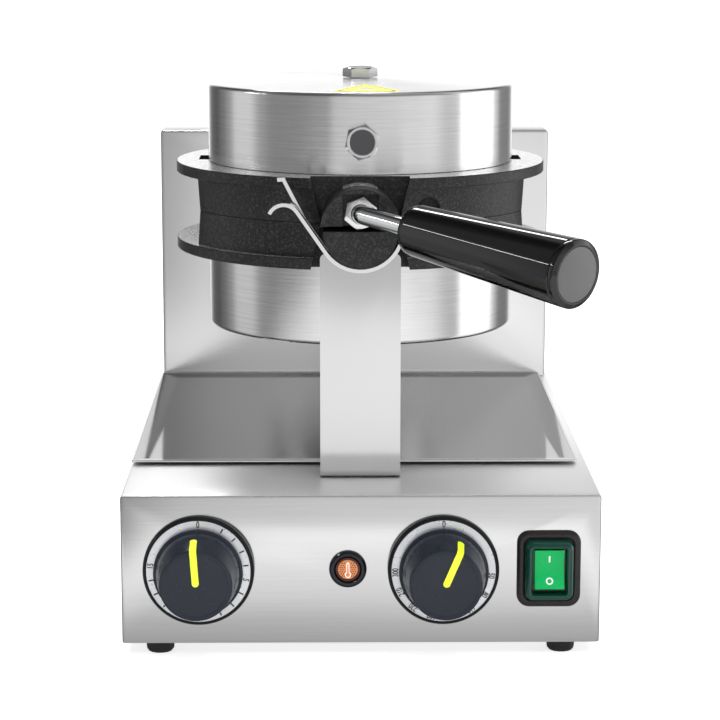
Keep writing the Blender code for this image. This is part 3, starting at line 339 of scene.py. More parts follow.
def lathe(profile, steps=128):
    """A bmesh turned round Z from (radius, height) points."""
    bm = bmesh.new()
    points = [bm.verts.new((radius, 0, height)) for radius, height in profile]
    edges = [bm.edges.new(pair) for pair in zip(points, points[1:])]
    bmesh.ops.spin(bm, geom=points + edges, axis=(0, 0, 1), cent=(0, 0, 0), angle=FULL_TURN,
                   steps=steps, use_merge=True)
    bmesh.ops.remove_doubles(bm, verts=bm.verts, dist=0.001 * MM)
    return bm


def rounded(points, radius, steps=5, closed=False):
    """points with each inner corner replaced by an arc of that radius, or of the point's third value."""
    count = len(points)
    out = []
    for i, point in enumerate(points):
        here = Vector(point[:2])
        size = point[2] if len(point) > 2 else radius
        if size == 0 or (not closed and i in (0, count - 1)):
            out.append(tuple(here))
            continue
        before = (Vector(points[i - 1][:2]) - here).normalized()
        after = (Vector(points[(i + 1) % count][:2]) - here).normalized()
        half = before.angle(after) / 2
        centre = here + (before + after).normalized() * size / math.sin(half)
        start = here + before * size / math.tan(half) - centre
        end = here + after * size / math.tan(half) - centre
        sweep = start.angle_signed(end)
        out += [tuple(centre + Matrix.Rotation(-sweep * k / steps, 2) @ start) for k in range(steps + 1)]
    return out


def rectangle(width, height, radius, steps=6):
    """The outline of a rectangle with round corners, centred on the origin."""
    x, y = width / 2, height / 2
    return rounded([(-x, -y), (x, -y), (x, y), (-x, y)], radius, steps, closed=True)


def join_rows(bm, rows, endless=False):
    """Faces from each ring of vertices to the next and, when endless, from the last to the first."""
    for first, second in zip(rows, rows[1:] + rows[:1] if endless else rows[1:]):
        for i in range(len(first)):
            j = (i + 1) % len(first)
            bm.faces.new((first[i], first[j], second[j], second[i]))


def banded(outlines, closed_ends=True):
    """A skin through stacked outlines of (points, height), which all have the same number of points."""
    bm = bmesh.new()
    rows = [[bm.verts.new((x, y, height)) for x, y in points] for points, height in outlines]
    join_rows(bm, rows)
    if closed_ends:
        bm.faces.new(list(reversed(rows[0])))
        bm.faces.new(rows[-1])
    return bm


def ribbon(path, half_width, thickness, steps=7):
    """A strip with round ends along a path of (across, up) points in the YZ plane, X being its width."""
    points = [Vector(point) for point in path]
    lengths = [0.0]
    for start, end in zip(points, points[1:]):
        lengths.append(lengths[-1] + (end - start).length)
    total = lengths[-1]
    ends = [half_width * (1 - math.cos(angle)) for angle in degrees(*range(0, 91, 90 // steps))]
    stations = sorted({*ends, *(total - end for end in ends), *lengths[1:-1]})
    rows = []
    for at in stations:
        k = max(i for i in range(len(points) - 1) if lengths[i] <= at + 1e-9)
        along = (points[k + 1] - points[k]).normalized()
        here = points[k] + along * (at - lengths[k])
        normal = Vector((-along.y, along.x))
        if k and abs(at - lengths[k]) < 1e-9:
            back = (points[k] - points[k - 1]).normalized()
            normal = (normal + Vector((-back.y, back.x))).normalized()
        short = half_width - min(at, total - at, half_width)
        half = max(math.sqrt(half_width**2 - short**2), 0.02 * MM)
        top, low = here + normal * thickness / 2, here - normal * thickness / 2
        rows.append([(x, y, z) for x, (y, z) in ((-half, top), (half, top), (half, low), (-half, low))])
    bm = bmesh.new()
    rows = [[bm.verts.new(corner) for corner in row] for row in rows]
    join_rows(bm, rows)
    bm.faces.new(rows[0])
    bm.faces.new(list(reversed(rows[-1])))
    return bm


def pipe(points, radius, sides=40):
    """A round bar with flat ends along a route."""
    bm = bmesh.new()
    rows = []
    up = Vector((1, 0, 0))
    for i, point in enumerate(points):
        along = (points[min(i + 1, len(points) - 1)] - points[max(i - 1, 0)]).normalized()
        side = along.cross(up).normalized()
        up = side.cross(along).normalized()
        rows.append([
            bm.verts.new(point + radius * (math.cos(a) * side + math.sin(a) * up))
            for a in (FULL_TURN * k / sides for k in range(sides))
        ])
    join_rows(bm, rows)
    bm.faces.new(list(reversed(rows[0])))
    bm.faces.new(rows[-1])
    return bm


def facing(x, y, z):
    """A frame on the front wall: local X to the right, local Y up, local Z out towards the user."""
    return Matrix.Translation((x, y, z)) @ Matrix.Rotation(math.radians(90), 4, "X")


def lettering(name, text, size, matrix, depth, finish, body, bold=0.0):
    """Plain numerals as a thin solid, centred on the matrix's origin."""
    curve = bpy.data.curves.new(name, "FONT")
    curve.body, curve.size, curve.extrude, curve.offset = text, size, depth, bold
    curve.align_x, curve.align_y = "CENTER", "CENTER"
    holder = bpy.data.objects.new(name, curve)
    bpy.context.scene.collection.objects.link(holder)
    bpy.context.view_layer.update()
    graph = bpy.context.evaluated_depsgraph_get()
    mesh = bpy.data.meshes.new_from_object(holder.evaluated_get(graph))
    bpy.data.objects.remove(holder)
    mesh.transform(matrix)
    return make_piece(name, mesh, finish, body)


# ---------------------------------------------------------------- the frame's own pieces

REPLACED = {
    "upper_cover", "lower_cover", "handle_rod", "handle_grip", "handle_end_cap", "lamp_bezel", "lamp_lens",
    "switch_frame", "switch_boot",
    "upper_top_bolt", "upper_side_bolt", "lower_top_bolt", "lower_side_bolt",
    *(f"{label}_{piece}" for label in ("timer", "thermostat") for piece in ("dial", "knob", "pointer")),
}
# The rear column takes the brighter copy of the steel, which is painted light.
for node in sorted(set(NODES) - REPLACED):
    refined(node, "stainless_column_painted_light" if node == "rear_column" else None)


# ---------------------------------------------------------------- covers, turned from sheet

# The covers' sheet thickness, the radius of their rolled edge, and how far the lid is crowned
SHEET, EDGE, DOME = 1.2 * MM, 2.6 * MM, 2.2 * MM


def dome_height(reach, radius):
    """How far the crowned lid is below its middle, at a reach from its axis."""
    return -DOME * (min(reach / (radius - EDGE), 1.0)) ** 2


def cover(label, body, up):
    """The brushed cover over one iron: a crowned lid with a rolled edge and a straight wall."""
    node = f"{label}_cover"
    low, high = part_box(node)
    centre = (low + high) / 2
    radius, height = (high.x - low.x) / 2, high.z - low.z
    flat = radius - EDGE
    wall = [(radius, 0.0), (radius, height - DOME - EDGE)]
    roll = [(flat + EDGE * math.cos(a), height - DOME - EDGE + EDGE * math.sin(a))
            for a in degrees(11, 22, 34, 45, 56, 68, 79)]
    lid = [(flat * k / 16, height + dome_height(flat * k / 16, radius)) for k in range(16, -1, -1)]
    outer = wall + roll + lid
    inner = [(0.0, height - SHEET), (flat, height - DOME - SHEET), (radius - SHEET, height - DOME - EDGE),
             (radius - SHEET, 0.0), (radius, 0.0)]
    turn = Matrix.Identity(4) if up else Matrix.Rotation(math.pi, 4, "Y")
    base = low.z if up else high.z
    mesh = mesh_of(lathe(outer + inner, 160), f"{node}_spun",
                   Matrix.Translation((centre.x, centre.y, base)) @ turn)
    make_piece(f"{node}_spun", mesh, "cover_steel", body, (node,), 40)


cover("upper", "lid", True)
cover("lower", "head", False)


STICKER_FOOT = 0.02 * MM


def sticker():
    """A plain yellow triangle on the front of the upper cover, with a black line inside its edge."""
    low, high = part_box("upper_cover")
    centre = (low + high) / 2
    radius = (high.x - low.x) / 2
    base, depth, front, shift = 38 * MM, 33 * MM, 78.5 * MM, 2.6 * MM

    def triangle(inset, lift):
        half, back, fore = base / 2 - 1.75 * inset, depth - 2 * inset, front - inset
        corners = [(shift - half, -fore), (shift + half, -fore), (shift, -fore + back - inset)]
        outline = rounded(corners, 1.6 * MM, 5, closed=True)
        return [(x, y, high.z - low.z + dome_height(math.hypot(x, y), radius) + lift) for x, y in outline]

    def decal(name, outer, inner, finish, lift):
        bm = bmesh.new()
        place = Matrix.Translation((centre.x, centre.y, low.z))
        rings = [triangle(*ring) for ring in (
            (outer, STICKER_FOOT), (outer, lift), (inner, lift), (inner, STICKER_FOOT))]
        rows = [[bm.verts.new(place @ Vector(point)) for point in ring] for ring in rings]
        join_rows(bm, rows, endless=True)
        make_piece(name, mesh_of(bm, name), finish, "lid")

    decal("sticker_border", 0, 7.2 * MM, "label_yellow", 0.12 * MM)
    decal("sticker_line", 1.3 * MM, 2.2 * MM, "ink", 0.16 * MM)


sticker()


# ---------------------------------------------------------------- bolts

# An M10 bolt: its width across flats, its head's height and its shank's radius
BOLT_FLATS, BOLT_HEAD, BOLT_SHANK = 17 * MM, 5.4 * MM, 5 * MM


def hex_bolt(node, body, seat, shank):
    """A hexagon bolt whose head stands on the seat's XY plane, with a bright chamfer round a face in a much
    darker copy of its steel, which is painted shade.
    """
    round_points = 72
    inner = BOLT_FLATS / 2 * 0.95
    angles = [FULL_TURN * k / round_points for k in range(round_points)]
    reach = [BOLT_FLATS / 2 / math.cos((a % (math.pi / 3)) - math.pi / 6) for a in angles]
    slope = math.tan(math.radians(30))

    def ring(radii, levels):
        return [bm.verts.new((r * math.cos(a), r * math.sin(a), z)) for a, r, z in zip(angles, radii, levels)]

    def circle(radius, level):
        return ring([radius] * round_points, [level] * round_points)

    bm = bmesh.new()
    rows = [circle(BOLT_SHANK, -shank), circle(BOLT_SHANK, 0)]
    rows += [ring(reach, [0] * round_points), ring(reach, [BOLT_HEAD - (r - inner) * slope for r in reach])]
    rows += [circle(inner, BOLT_HEAD), circle(inner - 1.1 * MM, BOLT_HEAD),
             circle(inner - 1.4 * MM, BOLT_HEAD - 0.25 * MM)]
    join_rows(bm, rows)
    bm.faces.new(list(reversed(rows[0])))
    bm.faces.new(rows[-1])
    head = mesh_of(bm, f"{node}_head", seat)
    make_piece(head.name, head, "bolt_steel", body, (node,), 25)
    # The flat face is a thin disc in the darker copy of the steel, which is painted shade.
    disc = lathe([(0, BOLT_HEAD - 0.22 * MM), (inner - 1.45 * MM, BOLT_HEAD - 0.22 * MM),
                  (inner - 1.5 * MM, BOLT_HEAD - 0.12 * MM), (0, BOLT_HEAD - 0.08 * MM)], 48)
    make_piece(f"{node}_face", mesh_of(disc, f"{node}_face", seat), "bolt_face_painted_shade", body)


for label, body, up in (("upper", "lid", True), ("lower", "head", False)):
    low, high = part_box(f"{label}_top_bolt")
    middle = (low + high) / 2
    level = high.z - BOLT_HEAD if up else low.z + BOLT_HEAD
    flip = Matrix.Identity(4) if up else Matrix.Rotation(math.pi, 4, "Y")
    hex_bolt(f"{label}_top_bolt", body, Matrix.Translation((middle.x, middle.y, level)) @ flip, 30 * MM)
    low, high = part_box(f"{label}_side_bolt")
    middle = (low + high) / 2
    front = facing(middle.x, low.y + BOLT_HEAD, middle.z) @ Matrix.Rotation(math.radians(19), 4, "Z")
    hex_bolt(f"{label}_side_bolt", body, front, 17 * MM)


# ---------------------------------------------------------------- waffle plates

# The grid's pitch, its ridges' width at the top and at the foot, their height, and the grid's radius
CELL, RIDGE_TOP, RIDGE_FOOT, RIDGE_HEIGHT = 7 * MM, 0.9 * MM, 2.2 * MM, 1.15 * MM
RELIEF_RADIUS = 76 * MM


def waffle_relief(label, body, up):
    """The diamond grid of ridges in one plate's cavity, as one solid skin."""
    low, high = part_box(f"{label}_cover")
    x0, y0 = (low.x + high.x) / 2, (low.y + high.y) / 2
    floor = 1.65 * MM
    bm = bmesh.new()
    corners = {}

    def corner(u, v, height):
        key = (round(u * 1e6), round(v * 1e6), round(height * 1e6))
        if key not in corners:
            corners[key] = bm.verts.new((u, v, height))
        return corners[key]

    reach = int(RELIEF_RADIUS / CELL) + 1
    signs = ((-1, -1), (1, -1), (1, 1), (-1, 1))
    steps = ((CELL / 2, RIDGE_HEIGHT), ((CELL - RIDGE_TOP) / 2, RIDGE_HEIGHT),
             ((CELL - RIDGE_FOOT) / 2, 0.06 * MM))
    for i in range(-reach, reach):
        for j in range(-reach, reach):
            u, v = (i + 0.5) * CELL, (j + 0.5) * CELL
            if math.hypot(abs(u) + CELL / 2, abs(v) + CELL / 2) > RELIEF_RADIUS:
                continue
            rings = [[corner(u + a * half, v + b * half, height) for a, b in signs] for half, height in steps]
            for outer, inner in zip(rings, rings[1:]):
                for k in range(4):
                    m = (k + 1) % 4
                    bm.faces.new((outer[k], outer[m], inner[m], inner[k]))
            bm.faces.new(rings[-1])
    rim = [edge for edge in bm.edges if edge.is_boundary]
    made = bmesh.ops.extrude_edge_only(bm, edges=rim)["geom"]
    for vert in (part for part in made if isinstance(part, bmesh.types.BMVert)):
        vert.co.z = 0.02 * MM
    bmesh.ops.holes_fill(bm, edges=[edge for edge in bm.edges if edge.is_boundary])
    spin = Matrix.Rotation(math.radians(45), 4, "Z")
    side = Matrix.Rotation(math.pi, 4, "Y") if up else Matrix.Identity(4)
    level = HEAD.z + (floor if up else -floor)
    mesh = mesh_of(bm, f"{label}_waffle_grid", Matrix.Translation((x0, y0, level)) @ side @ spin)
    make_piece(f"{label}_waffle_grid", mesh, "casting", body, smooth=20)


waffle_relief("upper", "lid", True)
waffle_relief("lower", "head", False)


# ---------------------------------------------------------------- handle

# The rod's radius, its height over the head's axis, and how far in front of the axis it bends
ROD_RADIUS, ROD_HEIGHT, ROD_CORNER = 4.85 * MM, 8.1 * MM, 124 * MM
# How far the grip turns to the right and points down
TURN, DROP = degrees(42.2, 5.4)
HANDLE_AXIS = Vector((math.sin(TURN) * math.cos(DROP), -math.cos(TURN) * math.cos(DROP), -math.sin(DROP)))
GRIP_START, GRIP_LENGTH, GRIP_NEAR, GRIP_FAR = 39.6 * MM, 107.4 * MM, 13.2 * MM, 17 * MM


def handle():
    """The bent chrome rod, the tapered grip and its end cap."""
    corner = HEAD + Vector((0, -ROD_CORNER, ROD_HEIGHT))
    ease = 4 * MM
    bend = [corner + Vector((0, ease, 0)), corner, corner + HANDLE_AXIS * ease]
    route = [corner + Vector((0, 29 * MM, 0))]
    route += [(1 - t) ** 2 * bend[0] + 2 * t * (1 - t) * bend[1] + t**2 * bend[2]
              for t in (k / 12 for k in range(13))]
    route.append(corner + HANDLE_AXIS * (GRIP_START + 25 * MM))
    make_piece("handle_rod_bent", mesh_of(pipe(route, ROD_RADIUS), "handle_rod_bent"),
               "chrome", "lid", ("handle_rod",))

    turn = HANDLE_AXIS.to_track_quat("Z", "Y").to_matrix().to_4x4()
    seat = Matrix.Translation(corner + HANDLE_AXIS * GRIP_START) @ turn
    bore = ROD_RADIUS + 0.3 * MM
    grip = rounded([
        (bore, 27 * MM, 0), (bore, 0, 0.3 * MM), (GRIP_NEAR - 0.6 * MM, 0, 2.2 * MM),
        (GRIP_NEAR + 0.1 * MM, 4 * MM, 2 * MM), (GRIP_FAR, GRIP_LENGTH, 0.7 * MM), (0, GRIP_LENGTH, 0),
    ], 0, 6)
    make_piece("handle_grip_turned", mesh_of(lathe([(0, 27 * MM), *grip], 96), "handle_grip_turned", seat),
               "bakelite", "lid", ("handle_grip",))
    cap = GRIP_LENGTH + 0.3 * MM
    end = cap + 3.7 * MM
    bevel = rounded([(0, cap, 0), (GRIP_FAR, cap, 0.3 * MM), (GRIP_FAR, end - 1.2 * MM, 0.6 * MM),
                     (GRIP_FAR - 2.4 * MM, end, 0.4 * MM), (GRIP_FAR - 3.2 * MM, end, 0.2 * MM),
                     (GRIP_FAR - 3.4 * MM, end - 0.3 * MM, 0), (0, end - 0.3 * MM, 0)], 0, 4)
    make_piece("handle_end_ring", mesh_of(lathe(bevel, 96), "handle_end_ring", seat),
               "bakelite", "lid")
    disc = rounded([(0, end - 0.25 * MM, 0), (GRIP_FAR - 3.5 * MM, end - 0.25 * MM, 0),
                    (GRIP_FAR - 3.5 * MM, end, 0.2 * MM), (0, end, 0)], 0, 3)
    make_piece("handle_end_disc", mesh_of(lathe(disc, 96), "handle_end_disc", seat),
               "end_cap", "lid", ("handle_end_cap",))


handle()


# ---------------------------------------------------------------- dials and knobs


def dial(label, marks):
    """A black ring round a silver face with printed marks: (angle clockwise from the top, text or None)."""
    node = f"{label}_dial"
    low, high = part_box(node)
    centre = (low + high) / 2
    radius, thickness = (high.x - low.x) / 2, high.y - low.y
    seat = facing(centre.x, high.y, centre.z)
    rim, face = 1.9 * MM, thickness - 0.5 * MM
    bore = 3.6 * MM
    back = radius - rim - 0.6 * MM
    ring = rounded([
        (back, 0, 0), (radius, 0, 0.2 * MM), (radius, thickness * 0.72, 1.2 * MM),
        (radius - 0.9 * MM, thickness, 0.5 * MM), (radius - rim, thickness, 0.3 * MM),
        (radius - rim, face - 0.4 * MM, 0), (back, face - 0.4 * MM, 0), (back, 0, 0),
    ], 0.2 * MM, 3)
    make_piece(f"{label}_dial_ring", mesh_of(lathe(ring, 120), f"{label}_dial_ring", seat),
               "dial_ring", "root")
    edge = radius - rim - 0.05 * MM
    plate = [(bore, 0.1 * MM), (back - 0.1 * MM, 0.1 * MM), (back - 0.1 * MM, face - 0.5 * MM),
             (edge, face - 0.35 * MM), (edge, face), (bore, face), (bore, 0.1 * MM)]
    make_piece(f"{label}_dial_plate", mesh_of(lathe(plate, 120), f"{label}_dial_plate", seat),
               "dial_face", "root", (node,))
    middle = radius - rim - 2.15 * MM
    ticks = bmesh.new()
    for angle, text in marks:
        out = seat @ Matrix.Rotation(-math.radians(angle), 4, "Z") @ Matrix.Translation((0, middle, face))
        if text is None:
            stroke = Matrix.Diagonal((0.75 * MM, 2.7 * MM, 0.12 * MM, 1))
            bmesh.ops.create_cube(ticks, size=1, matrix=out @ stroke)
            continue
        size = 4.9 * MM if text == "0" else 4.3 * MM
        lettering(f"{label}_number_{text}", text, size, out @ Matrix.Diagonal((0.72, 1, 1, 1)),
                  0.06 * MM, "ink", "root", 0.1 * MM)
    if ticks.verts:
        make_piece(f"{label}_ticks", mesh_of(ticks, f"{label}_ticks"), "ink", "root")
    else:
        ticks.free()


# Degrees from one minute's mark to the next, and from the top to the first
MINUTE, FIRST_MINUTE = 17.67, 29.6
minutes = [(FIRST_MINUTE + MINUTE * (k - 1), str(k) if k % 5 == 0 else None) for k in range(1, 16)]
dial("timer", [(0, "0"), *minutes])
# Degrees from the top to the first heat, and from one heat's number to the next
FIRST_HEAT, HEAT = 96, 24.6
heats = [50, 80, 110, 140, 180, 220, 260, 300]
dial("thermostat", [(0, "0"), *((FIRST_HEAT + HEAT * k, str(heat)) for k, heat in enumerate(heats))])

# The knobs' face radius, and the height of their base ring
FACE_RADIUS, SKIRT = 18.5 * MM, 4 * MM


def knob(label, rest, climb, inward):
    """A tapered knob with a base ring and a rolled rim, and its bright pointer, turned to its rest angle."""
    low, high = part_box(f"{label}_knob")
    centre, radius, height = (low + high) / 2, (high.x - low.x) / 2, high.y - low.y
    seat = facing(centre.x, high.y, centre.z) @ Matrix.Rotation(math.radians(rest), 4, "Z")
    waist = radius - 1.4 * MM
    bore, socket = 3.3 * MM, 18 * MM
    profile = rounded([
        (0, height - 0.35 * MM, 0), (FACE_RADIUS - 2.6 * MM, height - 0.35 * MM, 1 * MM),
        (FACE_RADIUS - 1.5 * MM, height, 0.6 * MM), (FACE_RADIUS + 0.1 * MM, height - 0.3 * MM, 1.3 * MM),
        (waist, SKIRT, 0.4 * MM), (waist + 0.15 * MM, SKIRT - 0.9 * MM, 0.3 * MM),
        (radius, SKIRT - 1.5 * MM, 0.5 * MM), (radius, 0, 0.3 * MM),
        (bore, 0, 0), (bore, socket, 0), (0, socket, 0),
    ], 0, 5)
    body = f"{label}_control"
    make_piece(f"{label}_knob_turned", mesh_of(lathe(profile, 120), f"{label}_knob_turned", seat),
               "knob_plastic", body, (f"{label}_knob",))
    slope_low, slope_high = (waist, SKIRT), (FACE_RADIUS, height - 1.2 * MM)
    start = [a + climb * (b - a) for a, b in zip(slope_low, slope_high)]
    path = [start, (FACE_RADIUS + 0.05 * MM, height - 0.9 * MM), (FACE_RADIUS - 1.2 * MM, height + 0.05 * MM),
            (inward, height - 0.1 * MM)]
    strip = ribbon(path, 1.75 * MM, 0.8 * MM)
    make_piece(f"{label}_pointer_strip", mesh_of(strip, f"{label}_pointer_strip", seat),
               "pointer_yellow", body, (f"{label}_pointer",))


knob("timer", 4, 0.4, -0.4 * MM)
knob("thermostat", -23, 0.4, -0.9 * MM)


# ---------------------------------------------------------------- lamp and switch


def lamp():
    """A glossy round bezel with a recessed amber window, which bears dots and a white thermometer."""
    low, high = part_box("lamp_bezel")
    centre = (low + high) / 2
    front, seat_y = low.y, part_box("base_housing")[0].y
    seat = facing(centre.x, seat_y, centre.z)
    rise = seat_y - front
    radius, back = (high.x - low.x) / 2, seat_y - high.y
    ring = rounded([
        (5.4 * MM, back, 0), (7.7 * MM, back, 0), (7.7 * MM, 0.3 * MM, 0), (radius, 0.3 * MM, 0.2 * MM),
        (radius, rise * 0.7, 1.3 * MM), (8.4 * MM, rise, 0.9 * MM), (7.1 * MM, rise - 0.1 * MM, 0.5 * MM),
        (6.6 * MM, 0.4 * MM, 0), (5.4 * MM, 0.2 * MM, 0), (5.4 * MM, back, 0),
    ], 0, 4)
    make_piece("lamp_bezel_moulded", mesh_of(lathe(ring, 80), "lamp_bezel_moulded", seat),
               "lamp_trim", "root", ("lamp_bezel",))
    rim = rounded([(6.5 * MM, 0.5 * MM, 0), (6.5 * MM, 1.9 * MM, 0.4 * MM), (5.4 * MM, 2.2 * MM, 0.3 * MM),
                   (5.2 * MM, 1.5 * MM, 0), (0, 1.5 * MM, 0), (0, 0.5 * MM, 0), (6.5 * MM, 0.5 * MM, 0)],
                  0, 4)
    make_piece("lamp_window_rim", mesh_of(lathe(rim, 64), "lamp_window_rim", seat),
               "amber_dark", "root")
    window = rounded([(0, 1.55 * MM, 0), (5.15 * MM, 1.55 * MM, 0), (5.15 * MM, 1.75 * MM, 0.1 * MM),
                      (0, 1.95 * MM, 0)], 0, 3)
    make_piece("lamp_window", mesh_of(lathe(window, 64), "lamp_window", seat),
               "amber_lens", "root", ("lamp_lens",))
    dots = bmesh.new()
    pitch = 1.15 * MM
    for row in range(-3, 4):
        for column in range(-4, 4):
            x, y = (column + 0.5 * (row % 2)) * pitch, row * pitch
            if 1.5 * MM < abs(x) and math.hypot(x, y) < 4.6 * MM:
                bmesh.ops.create_uvsphere(
                    dots, u_segments=8, v_segments=6, radius=0.34 * MM,
                    matrix=seat @ Matrix.Translation((x, y, 1.86 * MM)) @ Matrix.Diagonal((1, 1, 0.4, 1)))
    make_piece("lamp_dots", mesh_of(dots, "lamp_dots"), "amber_dark", "root")
    mark = bmesh.new()
    outline = [(0.75 * MM * math.sin(a), 3.1 * MM + 0.75 * MM * math.cos(a))
               for a in degrees(-90, -45, 0, 45, 90)]
    outline += [(1.65 * MM * math.sin(a), -2.8 * MM + 1.65 * MM * math.cos(a))
                for a in degrees(27, 60, 90, 135, 180, 225, 270, 300, 333)]
    middle = Vector((0, -0.2 * MM))
    inside = []
    for x, y in outline:
        shrink = 0.45 * MM
        bulb = y < -1 * MM
        hub = Vector((0, -2.8 * MM)) if bulb else Vector((0, min(max(y, middle.y), 3.1 * MM)))
        spoke = Vector((x, y)) - hub
        inside.append(tuple(hub + spoke * max(0.1, 1 - shrink / max(spoke.length, 1e-6))))
    rings = [(outline, 1.8 * MM), (outline, 2.05 * MM), (inside, 2.05 * MM), (inside, 1.8 * MM)]
    rows = [[mark.verts.new((x, y, level)) for x, y in points] for points, level in rings]
    join_rows(mark, rows, endless=True)
    make_piece("lamp_thermometer", mesh_of(mark, "lamp_thermometer", seat), "white_mark", "root")


def pillow(width, height, levels, radius):
    """Outlines of a round-cornered moulding: one for each (inset, height)."""
    return [(rectangle(width - 2 * inset, height - 2 * inset, max(radius - inset * 0.8, 0.4 * MM)), level)
            for inset, level in levels]


def switch():
    """The pillow-edged surround, the green splash boot round the rocker, and the rocker's two marks."""
    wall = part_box("base_housing")[0].y
    low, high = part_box("switch_frame")
    centre = (low + high) / 2
    seat = facing(centre.x, wall, centre.z)
    width, height = high.x - low.x, high.z - low.z
    body_back = wall - high.y
    outer = [(0.2 * MM, 0.3 * MM), (0.0, 0.7 * MM), (0.15 * MM, 1.5 * MM), (0.7 * MM, 2.3 * MM),
             (1.6 * MM, 2.8 * MM), (2.6 * MM, 3.0 * MM), (3.4 * MM, 2.9 * MM), (3.9 * MM, 2.5 * MM),
             (4.1 * MM, 1.9 * MM)]
    bm = banded(pillow(width, height, outer, 6.5 * MM))
    make_piece("switch_surround", mesh_of(bm, "switch_surround", seat), "black_trim", "root",
               ("switch_frame",))
    case_levels = [(0.4 * MM, body_back), (0, body_back + 1 * MM), (0, 0.28 * MM)]
    case = banded(pillow(24 * MM, 30 * MM, case_levels, 1.5 * MM))
    make_piece("switch_case", mesh_of(case, "switch_case", seat), "control_plastic", "root")
    low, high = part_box("switch_boot")
    width, height = high.x - low.x, high.z - low.z
    skin = [(0.0, 1.95 * MM), (0.1 * MM, 4.2 * MM), (0.5 * MM, 6.4 * MM), (1.3 * MM, 7.6 * MM),
            (2.4 * MM, 8.1 * MM), (3.2 * MM, 7.9 * MM), (3.7 * MM, 7.2 * MM), (3.9 * MM, 5.2 * MM),
            (4.1 * MM, 2.6 * MM), (4.3 * MM, 2.2 * MM)]
    bm = banded(pillow(width, height, skin, 4.2 * MM))
    make_piece("switch_boot_moulded", mesh_of(bm, "switch_boot_moulded", seat), "clear_boot", "root",
               ("switch_boot",))
    pressed = seat @ Matrix.Rotation(-math.radians(8), 4, "X")
    hollow, centre_out = 21.5 * MM, 26 * MM

    def on_rocker(y):
        """A frame on the rocker's hollow face, at a height above its middle."""
        tilt = math.asin(y / hollow)
        place = Matrix.Translation((0, y, centre_out - hollow * math.cos(tilt)))
        return pressed @ place @ Matrix.Rotation(tilt, 4, "X")

    bar = bmesh.new()
    stroke = Matrix.Diagonal((0.8 * MM, 3.4 * MM, 0.3 * MM, 1))
    bmesh.ops.create_cube(bar, size=1, matrix=on_rocker(5.4 * MM) @ stroke)
    make_piece("rocker_mark_on", mesh_of(bar, "rocker_mark_on"), "white_mark", "rocker")
    bore, edge, thick = 1.15 * MM, 1.9 * MM, 0.15 * MM
    ring = lathe([(bore, 0), (edge, 0), (edge, thick), (bore, thick), (bore, 0)], 40)
    off = mesh_of(ring, "rocker_mark_off", on_rocker(-6.1 * MM))
    make_piece(off.name, off, "white_mark", "rocker")


lamp()
switch()


# ---------------------------------------------------------------- tray hem


def tray_hem():
    """The folded edge all round the drip tray, in a much brighter steel than the tray, which is a painted
    highlight.
    """
    low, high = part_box("drip_tray")
    middle = (low + high) / 2
    width, depth = high.x - low.x + 0.1 * MM, high.y - low.y + 0.1 * MM
    sheet = 1.1 * MM
    top = high.z - low.z + 0.05 * MM
    foot = top - 1.1 * MM
    levels = [(0.3 * MM, foot), (0, foot + 0.3 * MM), (0, top - 0.35 * MM), (0.35 * MM, top),
              (sheet - 0.3 * MM, top), (sheet, top - 0.3 * MM), (sheet, foot + 0.3 * MM),
              (sheet - 0.3 * MM, foot), (0.3 * MM, foot)]
    bm = banded([(rectangle(width - 2 * inset, depth - 2 * inset, max(1.6 * MM - inset, 0.4 * MM)), level)
                 for inset, level in levels], closed_ends=False)
    bmesh.ops.remove_doubles(bm, verts=bm.verts, dist=0.001 * MM)
    make_piece("tray_hem", mesh_of(bm, "tray_hem", Matrix.Translation((middle.x, middle.y, low.z))),
               "hem_steel_painted_highlight", "tray")


tray_hem()


# ---------------------------------------------------------------- studio and camera


def studio_floor():
    """A very large white floor, also the background. It glows, so it stays white to the horizon."""
    bm = bmesh.new()
    bmesh.ops.create_circle(bm, cap_ends=True, segments=64, radius=30)
    floor = bpy.data.objects.new("studio_floor", mesh_of(bm, "studio_floor"))
    floor.location.z = -0.0001
    glow = {"Emission Color": (1, 1, 1, 1), "Emission Strength": 0.72}
    floor.data.materials.append(Finish("floor_paint", (0.8, 0.8, 0.8), 0.9, **glow).material)
    floor.visible_glossy = False
    bpy.context.scene.collection.objects.link(floor)


# Radiance of the table in front of the machine: metres from its front wall. Its darkness close to the machine
# is painted shadow.
TABLE = [(0.0, 0.4), (0.05, 0.62), (0.12, 1.0), (0.2, 1.25), (0.35, 1.4), (0.6, 1.45), (0.9, 1.3)]


def table_card():
    """What the front wall mirrors below itself: a glowing card for the table, with painted shadow close to
    the machine.
    """
    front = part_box("base_housing")[0].y
    bm = bmesh.new()
    reach = TABLE[-1][0]
    corners = [(x, front - y, 0.0002) for x, y in ((-0.6, reach), (0.6, reach), (0.6, -0.01), (-0.6, -0.01))]
    bm.faces.new([bm.verts.new(corner) for corner in corners])
    card = bpy.data.objects.new("table_card", mesh_of(bm, "table_card"))
    finish = Finish("table_card", (0, 0, 0), 1.0)
    split = finish.node("ShaderNodeSeparateXYZ", {0: finish.node("ShaderNodeTexCoord").outputs["Object"]})
    along = finish.node("ShaderNodeMapRange", {"Value": split.outputs[1], "From Min": front,
                                               "From Max": front - reach}).outputs[0]
    # Painted shadow: the card glows dimmer close to the front wall.
    ramp = finish.node("ShaderNodeValToRGB", {0: along})
    fill_ramp(ramp.color_ramp, [(y / reach, value / 2) for y, value in TABLE])
    # Painted light: the card glows a little brighter towards the right.
    across = finish.node("ShaderNodeMapRange", {"Value": split.outputs[0], "From Min": -0.2, "From Max": 0.1,
                                                "To Min": 1.88, "To Max": 2.0}).outputs[0]
    finish.drive("Emission Color", ramp.outputs[0])
    finish.drive("Emission Strength", across)
    card.data.materials.append(finish.material)
    card.visible_camera = card.visible_diffuse = card.visible_shadow = card.visible_transmission = False
    bpy.context.scene.collection.objects.link(card)


